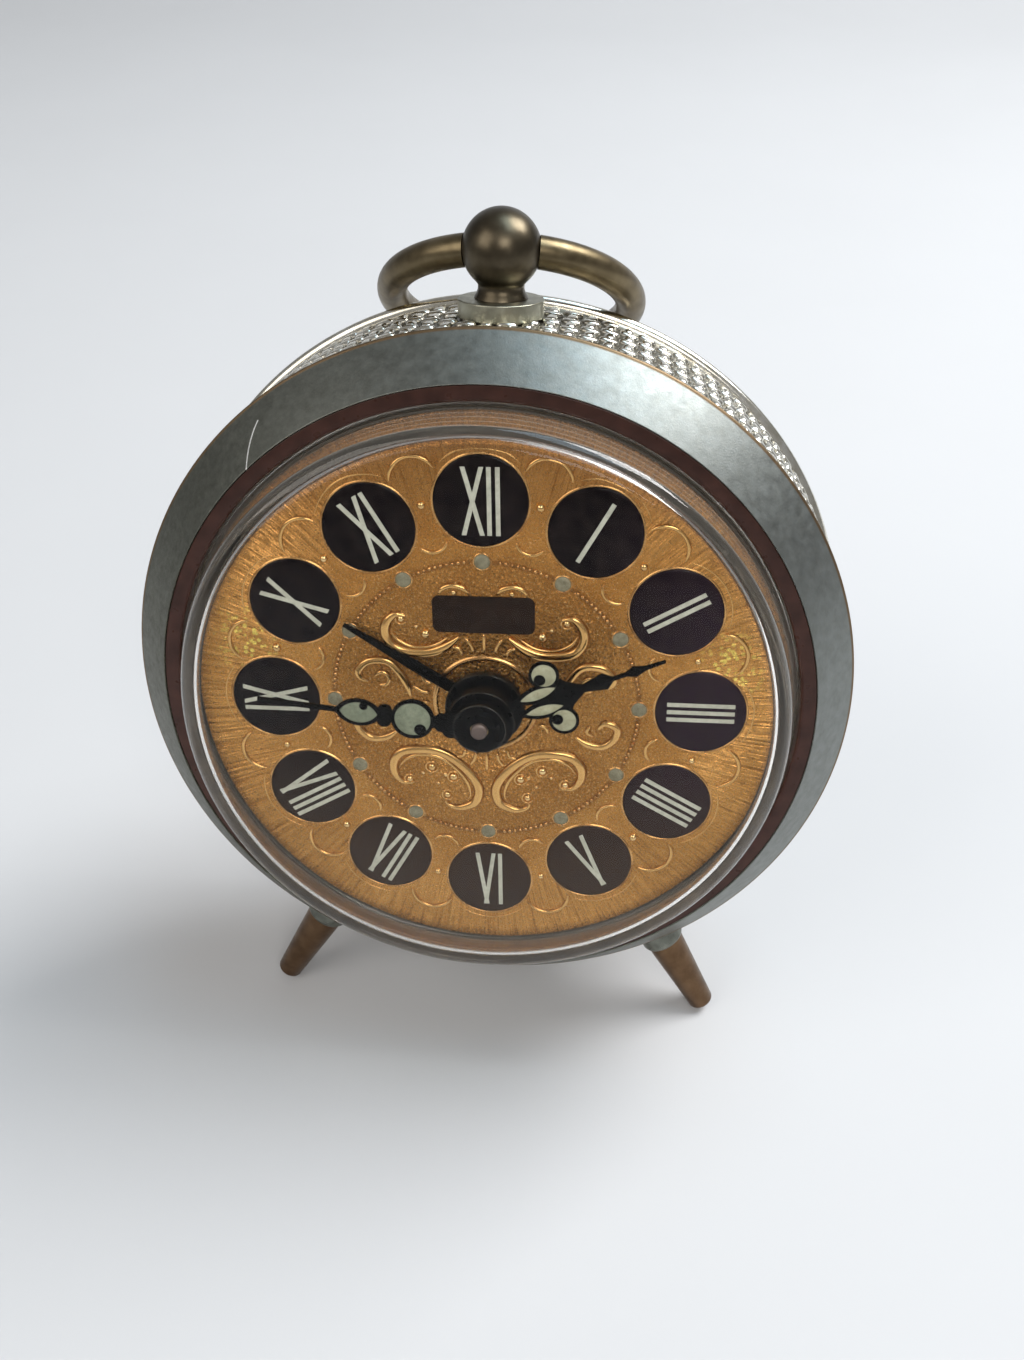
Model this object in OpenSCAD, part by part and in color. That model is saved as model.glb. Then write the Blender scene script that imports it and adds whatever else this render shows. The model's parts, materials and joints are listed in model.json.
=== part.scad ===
// Round wind-up alarm clock with a carrying ring, peg feet and a full movement.
// Everything is drawn facing the viewer: x to the right, y into the clock, z up, with the
// middle of the dial's face at the origin. It is then leaned back and set on its feet.

/* [Stance] */
// How far the clock leans back, in degrees
lean = 12.5; // [9:0.5:16]
// Angle of each front foot from straight down, in degrees
foot_spread = 29.7; // [22:0.1:36]
// Distance from the dial's axis to the end of a front foot
foot_reach = 57.4; // [52:0.1:62]
// Depth of the front feet behind the dial's face
foot_depth = 10.4; // [8:0.1:13]
// Radius of a foot at its collar
foot_top_r = 2.5; // [2.2:0.05:2.7]
// Radius of a foot at its end
foot_end_r = 1.6; // [1.2:0.05:2]
// Rounding of a foot's end
foot_round = 0.5; // [0.3:0.05:0.8]
// Backward slant of the rear foot from straight down, in degrees
rear_foot_slant = 45; // [42:1:48]
// Radius of the brown flange above each foot
foot_flange_r = 2.95; // [2.8:0.05:3.2]
// Height of the brown flange above the band
foot_flange_h = 2.2; // [1.6:0.1:3]
// Height of the grey collar
foot_collar_h = 2.2; // [1.6:0.1:3]

/* [Case] */
// Outer radius of the embossed band
band_r = 39.6; // [38:0.1:44]
// Thickness of the band's sheet
band_wall = 0.8; // [0.6:0.1:1.2]
// Depth of the band behind the bezel
band_depth = 17; // [15.5:0.1:19]
// Radius of the rolled bead at the band's back edge
bead_r = 0.75; // [0.5:0.05:0.9]
// How far the bezel's rim stands outside the band
bezel_lip = 0.35; // [0.2:0.05:0.6]
// Radial width of the bezel's silver slope
bezel_w = 4.3; // [3.8:0.05:4.8]
// How far the bezel's inner edge stands in front of the dial's face
bezel_front = 1.76; // [1.5:0.05:2.2]
// How far the bezel's outer edge lies behind the dial's face
bezel_back = 3.1; // [2.8:0.1:3.6]
// Thickness of the bezel's sheet
bezel_wall = 0.9; // [0.7:0.05:1.1]
// Radial width of the brown ring inside the bezel
inner_ring_w = 1.65; // [1.4:0.05:1.7]

/* [Crystal] */
// Radial gap between the crystal and the brown ring
crystal_play = 0.1; // [0.05:0.01:0.2]
// How much smaller in radius the crystal's front rim is than its foot
crystal_draft = 1.05; // [0.8:0.05:1.5]
// Distance from the dial's face to the crystal's front rim
crystal_rise = 6.2; // [6:0.1:7.5]
// Crown of the crystal in front of its rim
crystal_crown = 1.9; // [1.4:0.1:2.6]
// Thickness of the crystal
crystal_wall = 1.4; // [1.1:0.05:1.6]

/* [Dial] */
// Radial gap between the dial and the wall of the crystal
dial_play = 0.3; // [0.2:0.05:0.6]
// Thickness of the dial's sheet
dial_wall = 0.5; // [0.4:0.05:0.6]
// Turn of the dial in the case, anticlockwise, in degrees
dial_turn = 1.5; // [0:0.1:2.5]
// Distance from the dial's edge to the middle of a medallion
medallion_inset = 8.7; // [8:0.1:9]
// Radius of a medallion
medallion_r = 4.93; // [4.6:0.01:5.1]
// How far a medallion stands out of the dial
medallion_proud = 0.2; // [0.1:0.05:0.3]
// Distance from the middle of a medallion in to the middle of its lume dot
dot_inset = 6.65; // [6.4:0.05:7]
// Radius of a lume dot
dot_r = 0.85; // [0.7:0.05:1]
// Width of the bare plate under 12
badge_w = 11; // [9:0.1:12]
// Height of the bare plate under 12
badge_h = 4.3; // [3.8:0.1:4.8]
// Distance from the circle of lume dots down to the plate's middle
badge_inset = 6.05; // [5.6:0.05:6.4]

/* [Hands] */
// Direction of the hour hand on the dial, clockwise from 12, in degrees
hour_at = 67.6; // [0:0.1:360]
// Direction of the minute hand on the dial, clockwise from 12, in degrees
minute_at = 276; // [0:0.1:360]
// Direction of the alarm hand on the dial, clockwise from 12, in degrees
alarm_at = 302; // [0:0.1:360]
// Length of the hour hand
hour_len = 20.9; // [19.5:0.1:22]
// Length of the minute hand
minute_len = 24.1; // [21:0.1:27]
// Length of the alarm hand
alarm_len = 17.8; // [15:0.1:20]
// Thickness of a hand's sheet
hand_wall = 0.3; // [0.25:0.01:0.35]
// Distance of the hour hand's blade in front of the dial
hour_front = 4; // [3.7:0.05:4.1]
// Distance of the minute hand's blade in front of the dial
minute_front = 5.3; // [5.1:0.05:5.4]

/* [Finial and ring] */
// Radius of the finial's ball
ball_r = 4.12; // [3.9:0.02:4.4]
// Height of the ball's middle above the band
ball_rise = 6.6; // [6.2:0.05:7.2]
// Depth of the finial behind the dial's face
finial_depth = 11.75; // [11:0.05:12.2]
// Radius of the washer under the finial
washer_r = 4.5; // [4.1:0.1:5]
// Thickness of the washer
washer_h = 1.2; // [0.8:0.1:1.5]
// Radius of the ring's wire
ring_wire_r = 1.7; // [1.55:0.01:1.75]
// Radius of the ring, to the middle of its wire
ring_r = 13.35; // [12.6:0.05:14.2]
// Radius of the pins at the ring's ends
ring_pin_r = 0.75; // [0.6:0.05:0.9]
// Angle at which the ring lies back, from straight up, in degrees
ring_lie = 122; // [114:0.5:123]

/* [Back] */
// Depth of the back cover's sloping flank
cover_flank = 4.6; // [4.4:0.1:5]
// Thickness of the back cover's sheet
cover_wall = 0.8; // [0.6:0.05:1]
// Length of a winding key's wings, from side to side
key_span = 17; // [14:0.5:18]
// Radius of the time setting knob
time_knob_r = 3.6; // [3:0.1:4]
// Radius of the alarm setting knob
alarm_knob_r = 3.2; // [2.8:0.1:3.6]
// Travel of the alarm stop button
button_travel = 2.6; // [2:0.1:3]

/* [Movement] */
// Radius of the two plates
plate_r = 31.4; // [31:0.1:32]
// Thickness of a plate
plate_wall = 1; // [0.8:0.05:1.1]
// Distance between the plates
plate_gap = 9.5; // [9.3:0.1:10]
// Distance from the dial's face to the front plate
plate_front = 5; // [4.9:0.05:5.3]
// Radial running clearance of a shaft in its hole
running = 0.05; // [0.03:0.01:0.08]
// Radius of the centre arbor
arbor_r = 0.9; // [0.85:0.01:0.95]
// Tooth size of the great wheels and their pinions, as a module
great_module = 0.5; // [0.49:0.01:0.51]
// Tooth size of the centre wheel and its pinion, as a module
centre_module = 0.4; // [0.39:0.005:0.41]
// Tooth size of the third wheel and its pinion, as a module
third_module = 0.35; // [0.34:0.005:0.36]
// Tooth size of the fourth wheel and its pinion, as a module
fourth_module = 0.3; // [0.29:0.005:0.31]
// Tooth size of the wheels behind the dial, as a module
motion_module = 0.35; // [0.34:0.005:0.36]
// Radius of the balance wheel
balance_r = 6.3; // [5.8:0.1:6.6]
// Radius of the wound mainsprings
spring_r = 9.8; // [9:0.1:10.2]

/* [Hidden] */
$fn = 64;

// Small amount by which a cut runs past the face it opens
over = 0.5;
// Gap between pieces of different bodies that only pass each other
pass = 0.3;

// Tooth counts of the going train
GREAT_TEETH = 48;
CENTRE_LEAVES = 8;
CENTRE_TEETH = 48;
THIRD_LEAVES = 8;
THIRD_TEETH = 42;
FOURTH_LEAVES = 7;
FOURTH_TEETH = 42;
ESCAPE_LEAVES = 7;
ESCAPE_TEETH = 15;
// Tooth counts of the motion work
CANNON_TEETH = 12;
MINUTE_TEETH = 36;
MINUTE_LEAVES = 10;
HOUR_TEETH = 40;
ALARM_TEETH = 60;
ALARM_LEAVES = 10;
STAR_LEAVES = 8;
STAR_TEETH = 12;
RATCHET_TEETH = 18;

// Depths behind the dial's face
plate_back = plate_front + plate_wall;
rear_front = plate_back + plate_gap;
rear_back = rear_front + plate_wall;
band_front = bezel_back + 0.5;
band_back = band_front + band_depth;
cover_seat = band_back + 0.3;
cover_back = cover_seat + cover_flank + cover_wall;

// Rings from the band inwards
bezel_r = band_r + bezel_lip;
bezel_inner_r = bezel_r - bezel_w;
crystal_r = bezel_inner_r - inner_ring_w - crystal_play;
crystal_rim_r = crystal_r - crystal_draft;
dial_r = crystal_r - crystal_wall - dial_play;
medallion_circle = dial_r - medallion_inset;
dot_circle = medallion_circle - dot_inset;
badge_z = dot_circle - badge_inset;

// Radii of the nested pipes at the centre
cannon_r = arbor_r + 0.55;
hour_pipe_in = cannon_r + running;
hour_pipe_r = hour_pipe_in + 0.45;
alarm_pipe_in = hour_pipe_r + running;
alarm_pipe_r = alarm_pipe_in + 0.45;
dial_hole_r = alarm_pipe_r + 0.3;

// Second module of the motion work, from the shared distance of its two pairs
motion_distance = motion_module * (CANNON_TEETH + MINUTE_TEETH) / 2;
hour_module = 2 * motion_distance / (MINUTE_LEAVES + HOUR_TEETH);

// Places of the arbors, seen from the front
function polar(r, a) = [r * cos(a), r * sin(a)];
TIME_DIR = 200;
ALARM_DIR = 340;
time_barrel = polar(great_module * (GREAT_TEETH + CENTRE_LEAVES) / 2, TIME_DIR);
alarm_barrel = polar(great_module * (GREAT_TEETH + CENTRE_LEAVES) / 2 + 2, ALARM_DIR);
THIRD_DIR = 100;
FOURTH_DIR = 20;
ESCAPE_DIR = -10;
PALLET_DIR = 98;
BALANCE_DIR = 150;
third_at = polar(centre_module * (CENTRE_TEETH + THIRD_LEAVES) / 2, THIRD_DIR);
fourth_at = third_at + polar(third_module * (THIRD_TEETH + FOURTH_LEAVES) / 2, FOURTH_DIR);
escape_at = fourth_at + polar(fourth_module * (FOURTH_TEETH + ESCAPE_LEAVES) / 2, ESCAPE_DIR);
escape_r = 5;
pallet_distance = escape_r + 1;
lever_len = 8.6;
pallet_at = escape_at + polar(pallet_distance, PALLET_DIR);
balance_at = pallet_at + polar(lever_len, BALANCE_DIR);
MINUTE_DIR = 180;
minute_wheel_at = polar(motion_distance, MINUTE_DIR);
ALARM_SET_DIR = -85.4;
alarm_set_at = polar(hour_module * (ALARM_TEETH + ALARM_LEAVES) / 2, ALARM_SET_DIR);
STAR_DIR = 250;
star_at = alarm_barrel + polar(great_module * (GREAT_TEETH + STAR_LEAVES) / 2, STAR_DIR);
star_r = 4.4;
VERGE_DIR = 187;
verge_at = star_at + polar(star_r + 2.7, VERGE_DIR);
PILLAR_DIRS = [35, 150, 250, 320];
pillar_inset = 1.9;
pillar_circle = plate_r - pillar_inset;

// Levels of the wheels between the plates
centre_level = plate_back + 0.6;
great_level = plate_back + 2;
great_wall = 0.9;
wheel_wall = 0.6;
ratchet_level = great_level + great_wall + 0.1;
ratchet_wall = 0.6;
ratchet_r = 4;
spring_level = ratchet_level + ratchet_wall + 0.4;
spring_h = rear_front - 1 - spring_level;
fourth_level = plate_back + 3;
third_level = plate_back + 6;
escape_level = plate_back + 5.5;
escape_wall = 0.5;
lever_level = escape_level + escape_wall + pass;
lever_wall = 0.4;
roller_level = lever_level + lever_wall + pass;
roller_wall = 0.4;
balance_level = roller_level + roller_wall;
hairspring_level = plate_back + 4.3;
star_level = plate_back + 0.5;
pivot_r = 0.4;
train_arbor_r = 0.6;

// Levels of the wheels between the dial and the front plate
alarm_wheel_level = 1.1;
hour_wheel_level = 2.3;
minute_level = 3.6;

// Places a shape drawn as seen from the front between two depths
module face_on(front, thick) {
    translate([0, front + thick, 0]) rotate([90, 0, 0]) linear_extrude(thick) children();
}
// Round bar along the clock's depth
module rod(front, back, r) {
    translate([0, front, 0]) rotate([-90, 0, 0]) cylinder(r = r, h = back - front);
}
// Solid turned round the clock's depth, from points of radius and depth
module turned(points) {
    rotate([-90, 0, 0]) rotate_extrude($fn = 96) polygon(points);
}
// Moves to a place seen from the front
module at(place) { translate([place[0], 0, place[1]]) children(); }
// Turns with the dial, which sits a little anticlockwise in the case
module with_dial() { rotate([0, -dial_turn, 0]) children(); }
// Points a shape that is drawn pointing up at a direction on the dial
module pointing(clockwise) { with_dial() rotate([0, clockwise, 0]) children(); }

// Height of the dial's centre above the table, from the lowest rim of a front foot
foot_axis_drop = cos(foot_spread) * cos(lean);
foot_low = foot_depth * sin(lean) + (foot_reach - foot_round) * foot_axis_drop
    + (foot_end_r - foot_round) * sqrt(1 - foot_axis_drop * foot_axis_drop) + foot_round;
dial_height = foot_low;
// Sets the whole clock on the table
module seated() { translate([0, 0, dial_height]) rotate([-lean, 0, 0]) children(); }

// Rear foot: where its axis leaves the cover's flank, and the length that reaches the table
flank_mid = [cover_seat + cover_wall + cover_flank / 2,
    -(band_r - band_wall - running - cover_wall - cover_flank / 2)];
rear_axis_drop = sin(rear_foot_slant) * sin(lean) + cos(rear_foot_slant) * cos(lean);
rear_start_drop = flank_mid[0] * sin(lean) - flank_mid[1] * cos(lean);
rear_len = (dial_height - foot_round - rear_start_drop
    - (foot_end_r - foot_round) * sqrt(1 - rear_axis_drop * rear_axis_drop)) / rear_axis_drop
    + foot_round;

// Frames in which a foot stands along +Z, from the skin of the case to its end
module on_front_foot(side) {
    translate([0, foot_depth, 0]) rotate([0, 180 - side * foot_spread, 0]) children();
}
module on_rear_foot() {
    translate([0, flank_mid[0], flank_mid[1]]) rotate([180 + rear_foot_slant, 0, 0]) children();
}

stud_r = 1.1;
nut_h = 1.2;
front_peg_start = band_r + foot_flange_h + foot_collar_h;
rear_flange_h = 1;
rear_collar_h = 1.6;

// Peg with its rounded end, and the stud that goes through the case
module peg(start, end, inside) {
    rotate_extrude() polygon([
        [0, inside], [stud_r, inside], [stud_r, start], [foot_top_r, start],
        [foot_end_r, end - foot_round],
        for (a = [15 : 15 : 75])
            [foot_end_r - foot_round + foot_round * cos(a), end - foot_round + foot_round * sin(a)],
        [foot_end_r - foot_round, end], [0, end]
    ]);
}
module tube(start, end, r0, r1, bore) {
    rotate_extrude() polygon([[bore, start], [r0, start], [r1, end], [bore, end]]);
}
module hex_nut(start, across, h, bore) {
    translate([0, 0, start]) difference() {
        cylinder(d = across / cos(30), h = h, $fn = 6);
        translate([0, 0, -over]) cylinder(r = bore, h = h + 2 * over);
    }
}

// Case
module case_band() {
    color("#cdbf9b") difference() {
        turned([
            [band_r - band_wall, band_front], [band_r, band_front],
            [band_r, band_back - 2 * bead_r],
            for (a = [-60 : 30 : 60])
                [band_r + bead_r * cos(a) * 1.1, band_back - bead_r + bead_r * sin(a)],
            [band_r - band_wall, band_back]
        ]);
        for (side = [-1, 1]) on_front_foot(side)
            translate([0, 0, band_r - 3]) cylinder(r = stud_r + running, h = 6);
        translate([0, finial_depth, band_r - 3]) cylinder(r = finial_stud_r + running, h = 6);
    }
}

module bezel() {
    color("#8f938a") turned([
        [bezel_inner_r, -bezel_front], [bezel_r, bezel_back], [bezel_r + 0.25, bezel_back + 0.2],
        [bezel_r + 0.25, bezel_back + 0.5], [bezel_r - 0.1, bezel_back + 0.7],
        [band_r + 0.02, bezel_back + 0.7], [band_r + 0.02, band_front],
        [band_r - band_wall, band_front], [band_r - band_wall - 0.05, band_front + 3],
        [band_r - 2 * band_wall, band_front + 3], [band_r - 2 * band_wall, band_front - 0.6],
        [bezel_inner_r + 0.4, bezel_wall - bezel_front + 1], [bezel_inner_r, bezel_wall - bezel_front + 1]
    ]);
}

module bezel_inner_ring() {
    color("#3a1f17") turned([
        [bezel_inner_r, -bezel_front + 0.12], [bezel_inner_r, 1.4],
        [crystal_r + 0.9, 1.4], [crystal_r + 0.9, 0.25], [bezel_inner_r - inner_ring_w, 0.25],
        [bezel_inner_r - inner_ring_w, -bezel_front + 0.3],
        [bezel_inner_r - inner_ring_w + 0.25, -bezel_front + 0.12]
    ]);
}

module crystal() {
    foot_r = crystal_r + 0.8;
    inner_r = crystal_r - crystal_wall;
    rim_in_r = crystal_rim_r - crystal_wall;
    crown_r = (crystal_rim_r * crystal_rim_r + crystal_crown * crystal_crown) / 2 / crystal_crown;
    crown_mid = -crystal_rise - crystal_crown + crown_r;
    crown_in_r = crown_r - crystal_wall;
    function crown(r, radius) = crown_mid - sqrt(radius * radius - r * r);
    color("#dfe6e6", 0.35) turned([
        [0, crown(0, crown_r)],
        for (r = [6 : 6 : crystal_rim_r - 4]) [r, crown(r, crown_r)],
        [crystal_rim_r - 0.9, crown(crystal_rim_r - 0.9, crown_r)],
        [crystal_rim_r - 0.3, crown(crystal_rim_r - 0.3, crown_r) + 0.2],
        [crystal_rim_r, -crystal_rise + 0.6],
        [crystal_r, 0.25], [foot_r, 0.25], [foot_r, 0.95], [inner_r, 0.95],
        [inner_r, -0.4], [rim_in_r, -crystal_rise + 0.6 + crystal_wall / 2],
        for (r = [floor((rim_in_r - 3) / 6) * 6 : -6 : 6]) [r, crown(r, crown_in_r)],
        [0, crown(0, crown_in_r)]
    ]);
}

// Dial and what is set in it
foot_pin_r = 0.7;
dial_pin_circle = 26.5;
module dial_pins(r, front, back) {
    with_dial() for (a = [60, 240]) at(polar(dial_pin_circle, a)) rod(front, back, r);
}
module clock_face_place(hour, circle) { rotate([0, hour * 30, 0]) translate([0, 0, circle]) children(); }

module dial() {
    color("#b8823c") {
        difference() {
            turned([
                [dial_hole_r, 0.12], [dial_hole_r + 3.8, 0.12], [dial_hole_r + 4.2, 0],
                [dial_r, 0], [dial_r, dial_wall], [dial_hole_r, dial_wall]
            ]);
            with_dial() {
                for (h = [1 : 12]) clock_face_place(h, medallion_circle)
                    rod(-over, dial_wall / 2, medallion_r);
                for (h = [1 : 12]) clock_face_place(h, dot_circle)
                    rod(-over, dial_wall / 2, dot_r);
                face_on(-over, over + dial_wall / 2) translate([0, badge_z]) badge_outline();
            }
        }
        dial_pins(foot_pin_r, dial_wall, plate_front + plate_wall);
    }
}

badge_corner = 0.8;
module badge_outline() {
    square([badge_w - 2 * badge_corner, badge_h], center = true);
    square([badge_w, badge_h - 2 * badge_corner], center = true);
    for (x = [-1, 1], z = [-1, 1])
        translate([x * (badge_w / 2 - badge_corner), z * (badge_h / 2 - badge_corner)])
            circle(badge_corner, $fn = 32);
}

module hour_medallions() {
    color("#1d1416") with_dial() for (h = [1 : 12]) clock_face_place(h, medallion_circle) turned([
        [0, -medallion_proud], [medallion_r - 0.35, -medallion_proud],
        [medallion_r, -medallion_proud / 3], [medallion_r, dial_wall / 2], [0, dial_wall / 2]
    ]);
}

module dial_lume_dots() {
    color("#8d947f") with_dial() for (h = [1 : 12]) clock_face_place(h, dot_circle) turned([
        [0, -0.1], [dot_r - 0.2, -0.1], [dot_r, 0], [dot_r, dial_wall / 2], [0, dial_wall / 2]
    ]);
}

module bare_plate() {
    color("#2e1c14") with_dial()
        face_on(-0.1, 0.1 + dial_wall / 2) translate([0, badge_z]) badge_outline();
}

// Hands, drawn pointing up
hour_boss_r = 3.6;
minute_boss_r = 2.85;
alarm_boss_r = 4.3;
module leaf(length, width) {
    bow = (length * length / 4 + width * width / 4) / width;
    intersection() {
        translate([bow - width / 2, 0]) circle(bow);
        translate([width / 2 - bow, 0]) circle(bow);
    }
}
// Places of the hour hand's four openings, as distances along and across it
hour_leaf_along = 7;
hour_leaf_across = 0.98;
hour_curl_along = 8.45;
hour_curl_across = 2.85;
hour_curl_r = 1.62;
module hour_openings() {
    for (s = [-1, 1]) {
        translate([s * hour_leaf_across, hour_leaf_along]) rotate(-s * 4) leaf(4.2, 1.15);
        translate([s * hour_curl_across, hour_curl_along]) difference() {
            circle(hour_curl_r - 0.32);
            translate([-s * 0.35, -0.62]) circle(0.62);
        }
    }
}
module hour_outline() {
    circle(hour_boss_r);
    translate([-1.1, 2.5]) square([2.2, 2.5]);
    for (s = [-1, 1]) {
        translate([s * hour_leaf_across, hour_leaf_along]) rotate(-s * 4) leaf(5.6, 1.9);
        translate([s * hour_curl_across, hour_curl_along]) circle(hour_curl_r);
    }
    polygon([
        [-0.9, 6], [-2.1, 9.6], [-1.35, 10.3], [-0.42, 11.8], [-0.95, 14.2], [-0.22, 15.1],
        [-0.22, 16.6], [-0.6, 17.5], [-0.22, 18.8], [-0.14, hour_len], [0.14, hour_len],
        [0.22, 18.8], [0.6, 17.5], [0.22, 16.6], [0.22, 15.1], [0.95, 14.2], [0.42, 11.8],
        [1.35, 10.3], [2.1, 9.6], [0.9, 6]
    ]);
}
module hour_hand() {
    color("#161414") pointing(hour_at) difference() {
        union() {
            face_on(-hour_front, hand_wall) hour_outline();
            rod(-hour_front, -hour_front + 1.9, hour_boss_r);
        }
        rod(-hour_front - over, over, hour_pipe_r);
        face_on(-hour_front - over, hand_wall + 2 * over) difference() {
            hour_openings();
            circle(hour_boss_r + 0.1);
        }
    }
}
module hour_hand_lume() {
    color("#b9c3a4") pointing(hour_at) face_on(-hour_front + 0.05, hand_wall - 0.1) difference() {
        hour_openings();
        circle(hour_boss_r + 0.1);
    }
}

minute_outer = [13.1, 2.25, 1.6];
minute_inner = 7.25;
minute_inner_r = 2.35;
module oval(half_len, half_w) {
    leaf(2 * half_len + 0.6, 2 * half_w);
}
module minute_openings() {
    translate([0, minute_inner]) difference() {
        circle(minute_inner_r - 0.4);
        translate([-1.15, -0.9]) circle(0.65);
    }
    translate([0, minute_outer[0]]) difference() {
        oval(minute_outer[1] - 0.5, minute_outer[2] - 0.36);
        translate([0.85, -0.5]) circle(0.45);
    }
}
module minute_outline() {
    circle(minute_boss_r - 0.6);
    translate([0, minute_inner]) circle(minute_inner_r);
    translate([0, minute_outer[0]]) oval(minute_outer[1] + 0.1, minute_outer[2]);
    for (s = [-1, 1]) {
        translate([s * 0.55, 10.3]) circle(0.8);
        translate([s * 0.5, 4.2]) circle(0.6);
        translate([s * 0.8, 3.1]) circle(0.9);
    }
    translate([-0.7, 2]) square([1.4, 3.4]);
    translate([-0.5, 9.3]) square([1, 2.2]);
    translate([-0.28, 14.6]) square([0.56, minute_len - 14.6]);
}
module minute_hand() {
    color("#161414") pointing(minute_at) difference() {
        union() {
            face_on(-minute_front, hand_wall) difference() {
                minute_outline();
                minute_openings();
            }
            rod(-minute_front - 0.25, -hour_front - 0.25, minute_boss_r);
        }
        rod(-minute_front - over - 1, over, cannon_r);
    }
}
module minute_hand_lume() {
    color("#b9c3a4") pointing(minute_at)
        face_on(-minute_front + 0.05, hand_wall - 0.1) minute_openings();
}

module alarm_hand() {
    color("#161414") pointing(alarm_at) difference() {
        union() {
            face_on(-0.35 - hand_wall, hand_wall) polygon([
                [-0.65, 0], [-0.65, 9], [-0.22, alarm_len], [0.22, alarm_len], [0.65, 9], [0.65, 0]
            ]);
            rod(-1.25, -0.35, alarm_boss_r);
        }
        rod(-1.25 - over, over, alarm_pipe_r);
    }
}

// Finial and carrying ring
ball_z = band_r + ball_rise;
finial_stud_r = 1.4;
finial_neck_r = 2.5;
module on_finial() { translate([0, finial_depth, ball_z]) children(); }
module finial() {
    color("#6f6047") on_finial() difference() {
        union() {
            sphere(ball_r, $fn = 64);
            rotate_extrude() polygon([
                [0, 0], [finial_neck_r - 0.3, -ball_r * 0.8], [finial_neck_r - 0.3, -ball_r * 0.95],
                [washer_r * 0.62, washer_h - ball_rise + 0.05], [finial_stud_r, washer_h - ball_rise + 0.05],
                [finial_stud_r, -ball_rise - band_wall - nut_h - 0.6], [0, -ball_rise - band_wall - nut_h - 0.6]
            ]);
        }
        rotate([0, 90, 0]) cylinder(r = ring_pin_r + running, h = 4 * ball_r, center = true);
    }
}
// Round of the band, as a cut for what sits on it
module band_seat() {
    translate([0, band_back, 0]) rotate([90, 0, 0]) cylinder(r = band_r, h = band_back, $fn = 360);
}
module finial_washer() {
    color("#8b8471") on_finial() difference() {
        translate([0, 0, -ball_rise - 0.6]) cylinder(r = washer_r, h = washer_h + 0.65);
        translate([0, 0, -ball_rise - 2]) cylinder(r = finial_stud_r, h = 4);
        translate([0, -finial_depth, -ball_z]) band_seat();
    }
}
module finial_nut() {
    color("#8b8471") on_finial()
        hex_nut(-ball_rise - band_wall - nut_h - 0.35, 5.2, nut_h, finial_stud_r);
}

// Ring drawn standing up from its hinge, in the plane of x and z
module standing_ring() {
    difference() {
        translate([0, 0, ring_r]) rotate([90, 0, 0])
            rotate_extrude($fn = 96) translate([ring_r, 0]) circle(ring_wire_r, $fn = 32);
        sphere(ball_r + pass);
    }
    for (side = [-1, 1]) translate([side * 0.4, 0, 0]) rotate([0, side * 90, 0])
        cylinder(r = ring_pin_r, h = ball_r + 0.6);
}
module carrying_ring() {
    color("#7d6c4d") on_finial() rotate([-ring_lie, 0, 0]) standing_ring();
}

// Feet
module foot_left() {
    color("#6b4a2c") on_front_foot(-1) peg(front_peg_start, foot_reach, band_r - band_wall - nut_h - 0.6);
}
module foot_right() {
    color("#6b4a2c") on_front_foot(1) peg(front_peg_start, foot_reach, band_r - band_wall - nut_h - 0.6);
}
module foot_rear() {
    color("#6b4a2c") on_rear_foot() peg(rear_flange_h + rear_collar_h, rear_len, -cover_wall - nut_h - 0.7);
}
module foot_flanges() {
    color("#38221a") {
        for (side = [-1, 1]) difference() {
            on_front_foot(side)
                tube(band_r - 0.4, band_r + foot_flange_h, foot_flange_r, foot_flange_r, stud_r);
            band_seat();
        }
        on_rear_foot() tube(0, rear_flange_h, foot_flange_r, foot_flange_r, stud_r);
    }
}
module foot_collars() {
    color("#7f8279") {
        for (side = [-1, 1]) on_front_foot(side)
            tube(band_r + foot_flange_h, front_peg_start, foot_flange_r, foot_top_r + 0.15, stud_r);
        on_rear_foot()
            tube(rear_flange_h, rear_flange_h + rear_collar_h, foot_flange_r, foot_top_r + 0.15, stud_r);
    }
}
module foot_nuts() {
    color("#8b8471") {
        for (side = [-1, 1]) on_front_foot(side)
            hex_nut(band_r - band_wall - nut_h - 0.35, 4.4, nut_h, stud_r);
        on_rear_foot() hex_nut(-cover_wall - nut_h - 0.25, 4.4, nut_h, stud_r);
    }
}

// Back cover
cover_r = band_r - band_wall - running;
cover_flat_r = cover_r - cover_wall - cover_flank;
key_hole_r = 2.4;
// The cover's posts stand on the pillars, or as far out as the flat of the cover lets them
cover_post_r = 2;
cover_post_gap = 0.4;
cover_post_circle = min(pillar_circle, cover_flat_r - cover_post_r - cover_post_gap);
module back_cover() {
    color("#a7a08c") difference() {
        turned([
            [0, cover_back], [cover_flat_r, cover_back], [cover_r - cover_wall, cover_seat + cover_wall],
            [cover_r, cover_seat + cover_wall], [cover_r, cover_seat - 1.6],
            [cover_r - cover_wall, cover_seat - 1.6], [cover_r - cover_wall, cover_seat - 0.2],
            [cover_flat_r - cover_wall / 2, cover_back - cover_wall], [0, cover_back - cover_wall]
        ]);
        at(time_barrel) rod(cover_seat, cover_back + over, key_hole_r);
        at(alarm_barrel) rod(cover_seat, cover_back + over, key_hole_r);
        rod(cover_seat, cover_back + over, arbor_r + 0.7);
        at(alarm_set_at) rod(cover_seat, cover_back + over, arbor_r + 0.6);
        at(button_at) rod(cover_seat, cover_back + over, button_r + running);
        for (a = PILLAR_DIRS)
            at(polar(cover_post_circle, a)) rod(cover_seat, cover_back + over, screw_r + 0.1);
        at(post_at) rod(cover_seat, cover_back + over, post_r);
        on_rear_foot() translate([0, 0, -3]) cylinder(r = stud_r + running, h = 6);
        face_on(cover_seat, cover_back) at_regulator_slot();
        for (a = [24 : 12 : 84]) face_on(cover_seat, cover_back)
            rotate(a) translate([22, 0]) sound_slot();
    }
}
module sound_slot() { square([4, 1.1], center = true); }
regulator_reach = 11;
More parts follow.
